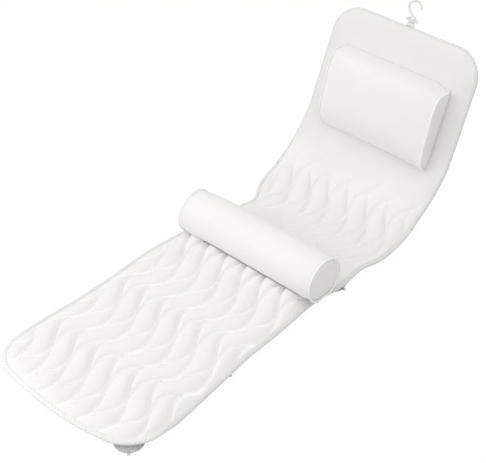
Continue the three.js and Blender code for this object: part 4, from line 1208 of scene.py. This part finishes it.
for row, panel, along, aside, tab in ROWS:
    strap = flat_tape(f"cup_strap_{row}", panel, along, TAPE_TOP - TAPE_THICK, aside + TAPE_TAIL, TAPE_WIDTH,
                      TAPE_THICK, strap_cloth)
    strap = join([strap, cup_pocket(panel, -aside, along), cup_pocket(panel, aside, along)])
    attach(strap, CARRIERS[panel])
    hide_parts(f"cup_tape_{row}")
    for side, sign, angle in (("left", -1, 180 - tab), ("right", 1, -tab)):
        x = sign * aside
        rings = turned(panel, x, along, CUP_PROFILE, RIM_LEVEL, CUP_SIDES)
        cup = tube(f"cup_{row}_{side}", rings, clear_vinyl, capped=False)
        cup = join([cup, cup_tab(panel, x, along, angle)])
        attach(cup, f"cup_{row}_{side}")
        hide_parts(f"suction_cup_{row}_{side}")
print("cups:", 2 * len(ROWS))

# %% [markdown]
# ## Hanging hook
# The hook is one bent bar: a round bow, a straight shank down to one corner, a base bar through the webbing
# and a strut back up to the shank. A bevelled curve would pinch at the corners, so a round section is
# carried along a path whose corners are rounded off.

# %% Hook
HOOK_ALONG, HOOK_LEVEL, HOOK_WIRE, HOOK_ASIDE, HOOK_SIDES = 283.0, 3.25, 2.25, -2.0, 14
BOW_CENTRE, BOW_RADIUS, BOW_DEGREES, BOW_POINTS = np.array((-1.5, 27.0)), 16.0, (7, 198), 40
EYE_HALF, EYE_ROUND, EYE_POINTS = 15.5, 4.0, 8
SHANK_SHARES, STRUT_SHARES, STRUT_MEETS = np.linspace(0.06, 0.8, 10), np.linspace(0.3, 1.0, 8), 0.5
TIP_SIZES = np.array((0.35, 0.8, 0.96))


def rounded_corner(before, at, after):
    a, b = (at + EYE_ROUND * unit(end - at) for end in (before, after))
    return [(1 - t) ** 2 * a + 2 * t * (1 - t) * at + t**2 * b for t in np.linspace(0, 1, EYE_POINTS)]


def hook_path():
    """Middle line of the bar, across and along the head panel."""
    turns = np.radians(np.linspace(*BOW_DEGREES, BOW_POINTS))
    bow = BOW_CENTRE + BOW_RADIUS * np.stack([np.cos(turns), np.sin(turns)], 1)
    neck, right, left = bow[-1], np.array((EYE_HALF, 0.0)), np.array((-EYE_HALF, 0.0))
    joint = between(neck, right, STRUT_MEETS)
    shank = [between(neck, right, share) for share in SHANK_SHARES]
    strut = [between(left, joint, share) for share in STRUT_SHARES]
    eye = rounded_corner(neck, right, left) + rounded_corner(right, left, joint)
    return np.array([*bow, *shank, *eye, *strut])


def beside(line):
    """Directions square to a line in a plane."""
    ahead = unit(np.gradient(line, axis=0))
    return np.stack([-ahead[:, 1], ahead[:, 0]], 1)


def hook_rings(path):
    turns = round_turns(HOOK_SIDES)
    size = np.full(len(path), HOOK_WIRE)
    size[: len(TIP_SIZES)] *= TIP_SIZES
    flat = path[:, None, :] + size[:, None, None] * np.cos(turns)[None, :, None] * beside(path)[:, None, :]
    level = HOOK_LEVEL + size[:, None] * np.sin(turns)[None, :]
    return on_panel(HEAD, HOOK_ASIDE + flat[..., 0], HOOK_ALONG + flat[..., 1], level)


hook = tube("hanging_hook_bar", hook_rings(hook_path()), moulded_plastic)
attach(hook, "hook")
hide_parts("hanging_hook")
print("hook points:", len(hook.data.vertices))

# %% [markdown]
# ## Hook loop
# A short webbing is folded round the base bar of the hook and sewn into the head edge, where it fans out.
# It is the flat bar of the other tapes, carried along a line that runs out, round the bar and back.

# %% Loop round the bar
LOOP_HALF, LOOP_THICK, LOOP_RADIUS = 6.0, 0.9, 3.1
LOOP_OPEN, LOOP_POINTS = 0.25, 24
TAIL_END, TAIL_CLEAR, TAIL_OFF, TAIL_POINTS = -12.6, 0.2, 0.62, 6
LOOP_FAN, LOOP_FAN_OVER = 0.75, 8.0
LOOP_CUT_ACROSS, LOOP_CUT_UP = 0.4, 0.2


def loop_line():
    """Middle line of the webbing, along the head panel and off it."""
    turns = np.linspace(np.pi - LOOP_OPEN, LOOP_OPEN - np.pi, LOOP_POINTS)
    bend = LOOP_RADIUS * np.stack([np.cos(turns), np.sin(turns)], 1)
    tail = np.linspace(TAIL_END, -LOOP_RADIUS - TAIL_CLEAR, TAIL_POINTS)
    out = np.stack([tail, np.full(TAIL_POINTS, TAIL_OFF)], 1)
    return np.concatenate([out, bend, (out * (1, -1))[::-1]])


line = loop_line()
section = bar_section(LOOP_HALF, -0.5, 0.5, LOOP_CUT_ACROSS, LOOP_CUT_UP)
fan = 1 + LOOP_FAN * eased((-line[:, 0] - LOOP_RADIUS) / LOOP_FAN_OVER)
place = line[:, None, :] + LOOP_THICK * section[None, :, 1, None] * beside(line)[:, None, :]
rings = on_panel(HEAD, HOOK_ASIDE + section[None, :, 0] * fan[:, None], HOOK_ALONG + place[..., 0],
                 HOOK_LEVEL + place[..., 1])
layout = flat_layout(section[None, :, 0], run_length(line)[:, None])
loop = tube("hook_loop_webbing", rings, strap_cloth, layout)
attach(loop, "head_section")
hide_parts("hook_loop")
print("loop length:", round(float(run_length(line)[-1]), 1), "mm")

# %% [markdown]
# ## Stage
# The photograph is a plain studio shot on white. More light would wash the cloth out, so the white comes
# from the floor and the sky as the camera sees them, and in reflections, while the object is lit by a
# weaker sky. The floor keeps a faint shadow.

# %% Floor and sky
SKY_SEEN, SKY_LIGHT = 1.0, 0.74
FLOOR_HALF, FLOOR_Z, FLOOR_GREY = 6.0, -0.0004, 0.7
FLOOR_WHITE, FLOOR_WHITE_SHARE = 1.02, 0.95
WHITE = (1, 1, 1, 1)


def white_rays(start):
    """1 for rays that should see the white studio, also in reflections and through clear things."""
    camera, glossy, clear = (start.add("ShaderNodeLightPath", output=f"Is {kind} Ray")
                             for kind in ("Camera", "Glossy", "Transmission"))
    return start.math("MAXIMUM", start.math("MAXIMUM", camera, glossy), clear)


def studio_floor():
    material = bpy.data.materials.new("studio_floor")
    material.use_nodes = True
    material.node_tree.nodes.clear()
    start = Value(material.node_tree)
    matte = start.add("ShaderNodeBsdfDiffuse", {}, {"Color": (FLOOR_GREY, FLOOR_GREY, FLOOR_GREY, 1)})
    white = start.add("ShaderNodeEmission", {}, {"Color": WHITE, "Strength": FLOOR_WHITE})
    share = white_rays(start) * FLOOR_WHITE_SHARE
    surface = start.add("ShaderNodeMixShader", {}, {0: share, 1: matte, 2: white})
    start.add("ShaderNodeOutputMaterial", {}, {"Surface": surface})
    return material


floor_corners = [(x * FLOOR_HALF, y * FLOOR_HALF, FLOOR_Z) for x, y in ((-1, -1), (1, -1), (1, 1), (-1, 1))]
floor = new_piece("studio_floor", floor_corners, [(0, 1, 2, 3)], [studio_floor()])
world = bpy.data.worlds.new("studio_sky")
bpy.context.scene.world = world
world.use_nodes = True
world.node_tree.nodes.clear()
sky = Value(world.node_tree)
level = white_rays(sky) * (SKY_SEEN - SKY_LIGHT) + SKY_LIGHT
backdrop = sky.add("ShaderNodeBackground", {}, {"Color": WHITE, "Strength": level})
sky.add("ShaderNodeOutputWorld", {}, {"Surface": backdrop})
print("sky light:", SKY_LIGHT)

# %% [markdown]
# ## Lamps
# White cloth on white shows its shape only by soft shading. One large lamp overhead gives the even top
# light, and a smaller one low at the side rakes over the quilting and models its cells. A sun would draw
# hard shadows.

# %% Lamps
# name, place, aim, size and power
LAMPS = (
    ("key", (-1.25, -1.75, 1.2), (0.0, 0.0, 0.1), 1.2, 11.5),
    ("overhead", (0.35, -0.65, 2.4), (0.0, 0.1, 0.1), 2.2, 15.0),
)
for name, place, aim, size, power in LAMPS:
    lamp = bpy.data.lights.new(name, "AREA")
    lamp.shape, lamp.size, lamp.energy = "DISK", size, power
    holder = bpy.data.objects.new(name, lamp)
    holder.location = place
    holder.rotation_euler = (Vector(aim) - Vector(place)).to_track_quat("-Z", "Y").to_euler()
    bpy.context.scene.collection.objects.link(holder)
print("lamps:", len(LAMPS))

# %% [markdown]
# ## Camera
# The camera stands where the photographer's did, as the outline in the photograph gave it: a turn round the
# object, a rise above the floor, a slight roll, a point to aim at and a distance. Its axes are worked out
# from those angles, because a tracking constraint leaves no room for the roll.

# %% Camera
CAMERA_TURN, CAMERA_RISE, CAMERA_ROLL = (math.radians(a) for a in (42.392, 37.889, -0.176))
CAMERA_AIM, CAMERA_AWAY = np.array((0.0154, -0.03383, 0.146)), 2.46023
CAMERA_LENS, SENSOR_WIDTH = 91.445, 36

towards = np.array((math.sin(CAMERA_TURN), -math.cos(CAMERA_TURN), 0.0)) * math.cos(CAMERA_RISE)
back = towards + np.array((0.0, 0.0, math.sin(CAMERA_RISE)))
level_right = np.array((math.cos(CAMERA_TURN), math.sin(CAMERA_TURN), 0.0))
level_up = np.cross(back, level_right)
right = math.cos(CAMERA_ROLL) * level_right + math.sin(CAMERA_ROLL) * level_up
axes = np.stack([right, np.cross(back, right), back], 1)
spot = CAMERA_AIM + back * CAMERA_AWAY
camera = bpy.data.objects.new("camera", bpy.data.cameras.new("camera"))
camera.data.lens, camera.data.sensor_width = CAMERA_LENS, SENSOR_WIDTH
camera.matrix_world = Matrix([(*row, s) for row, s in zip(axes, spot)] + [(0, 0, 0, 1)])
bpy.context.scene.collection.objects.link(camera)
bpy.context.scene.camera = camera
bpy.context.scene.view_settings.view_transform = "Standard"
print("lens:", round(CAMERA_LENS, 1), "mm")
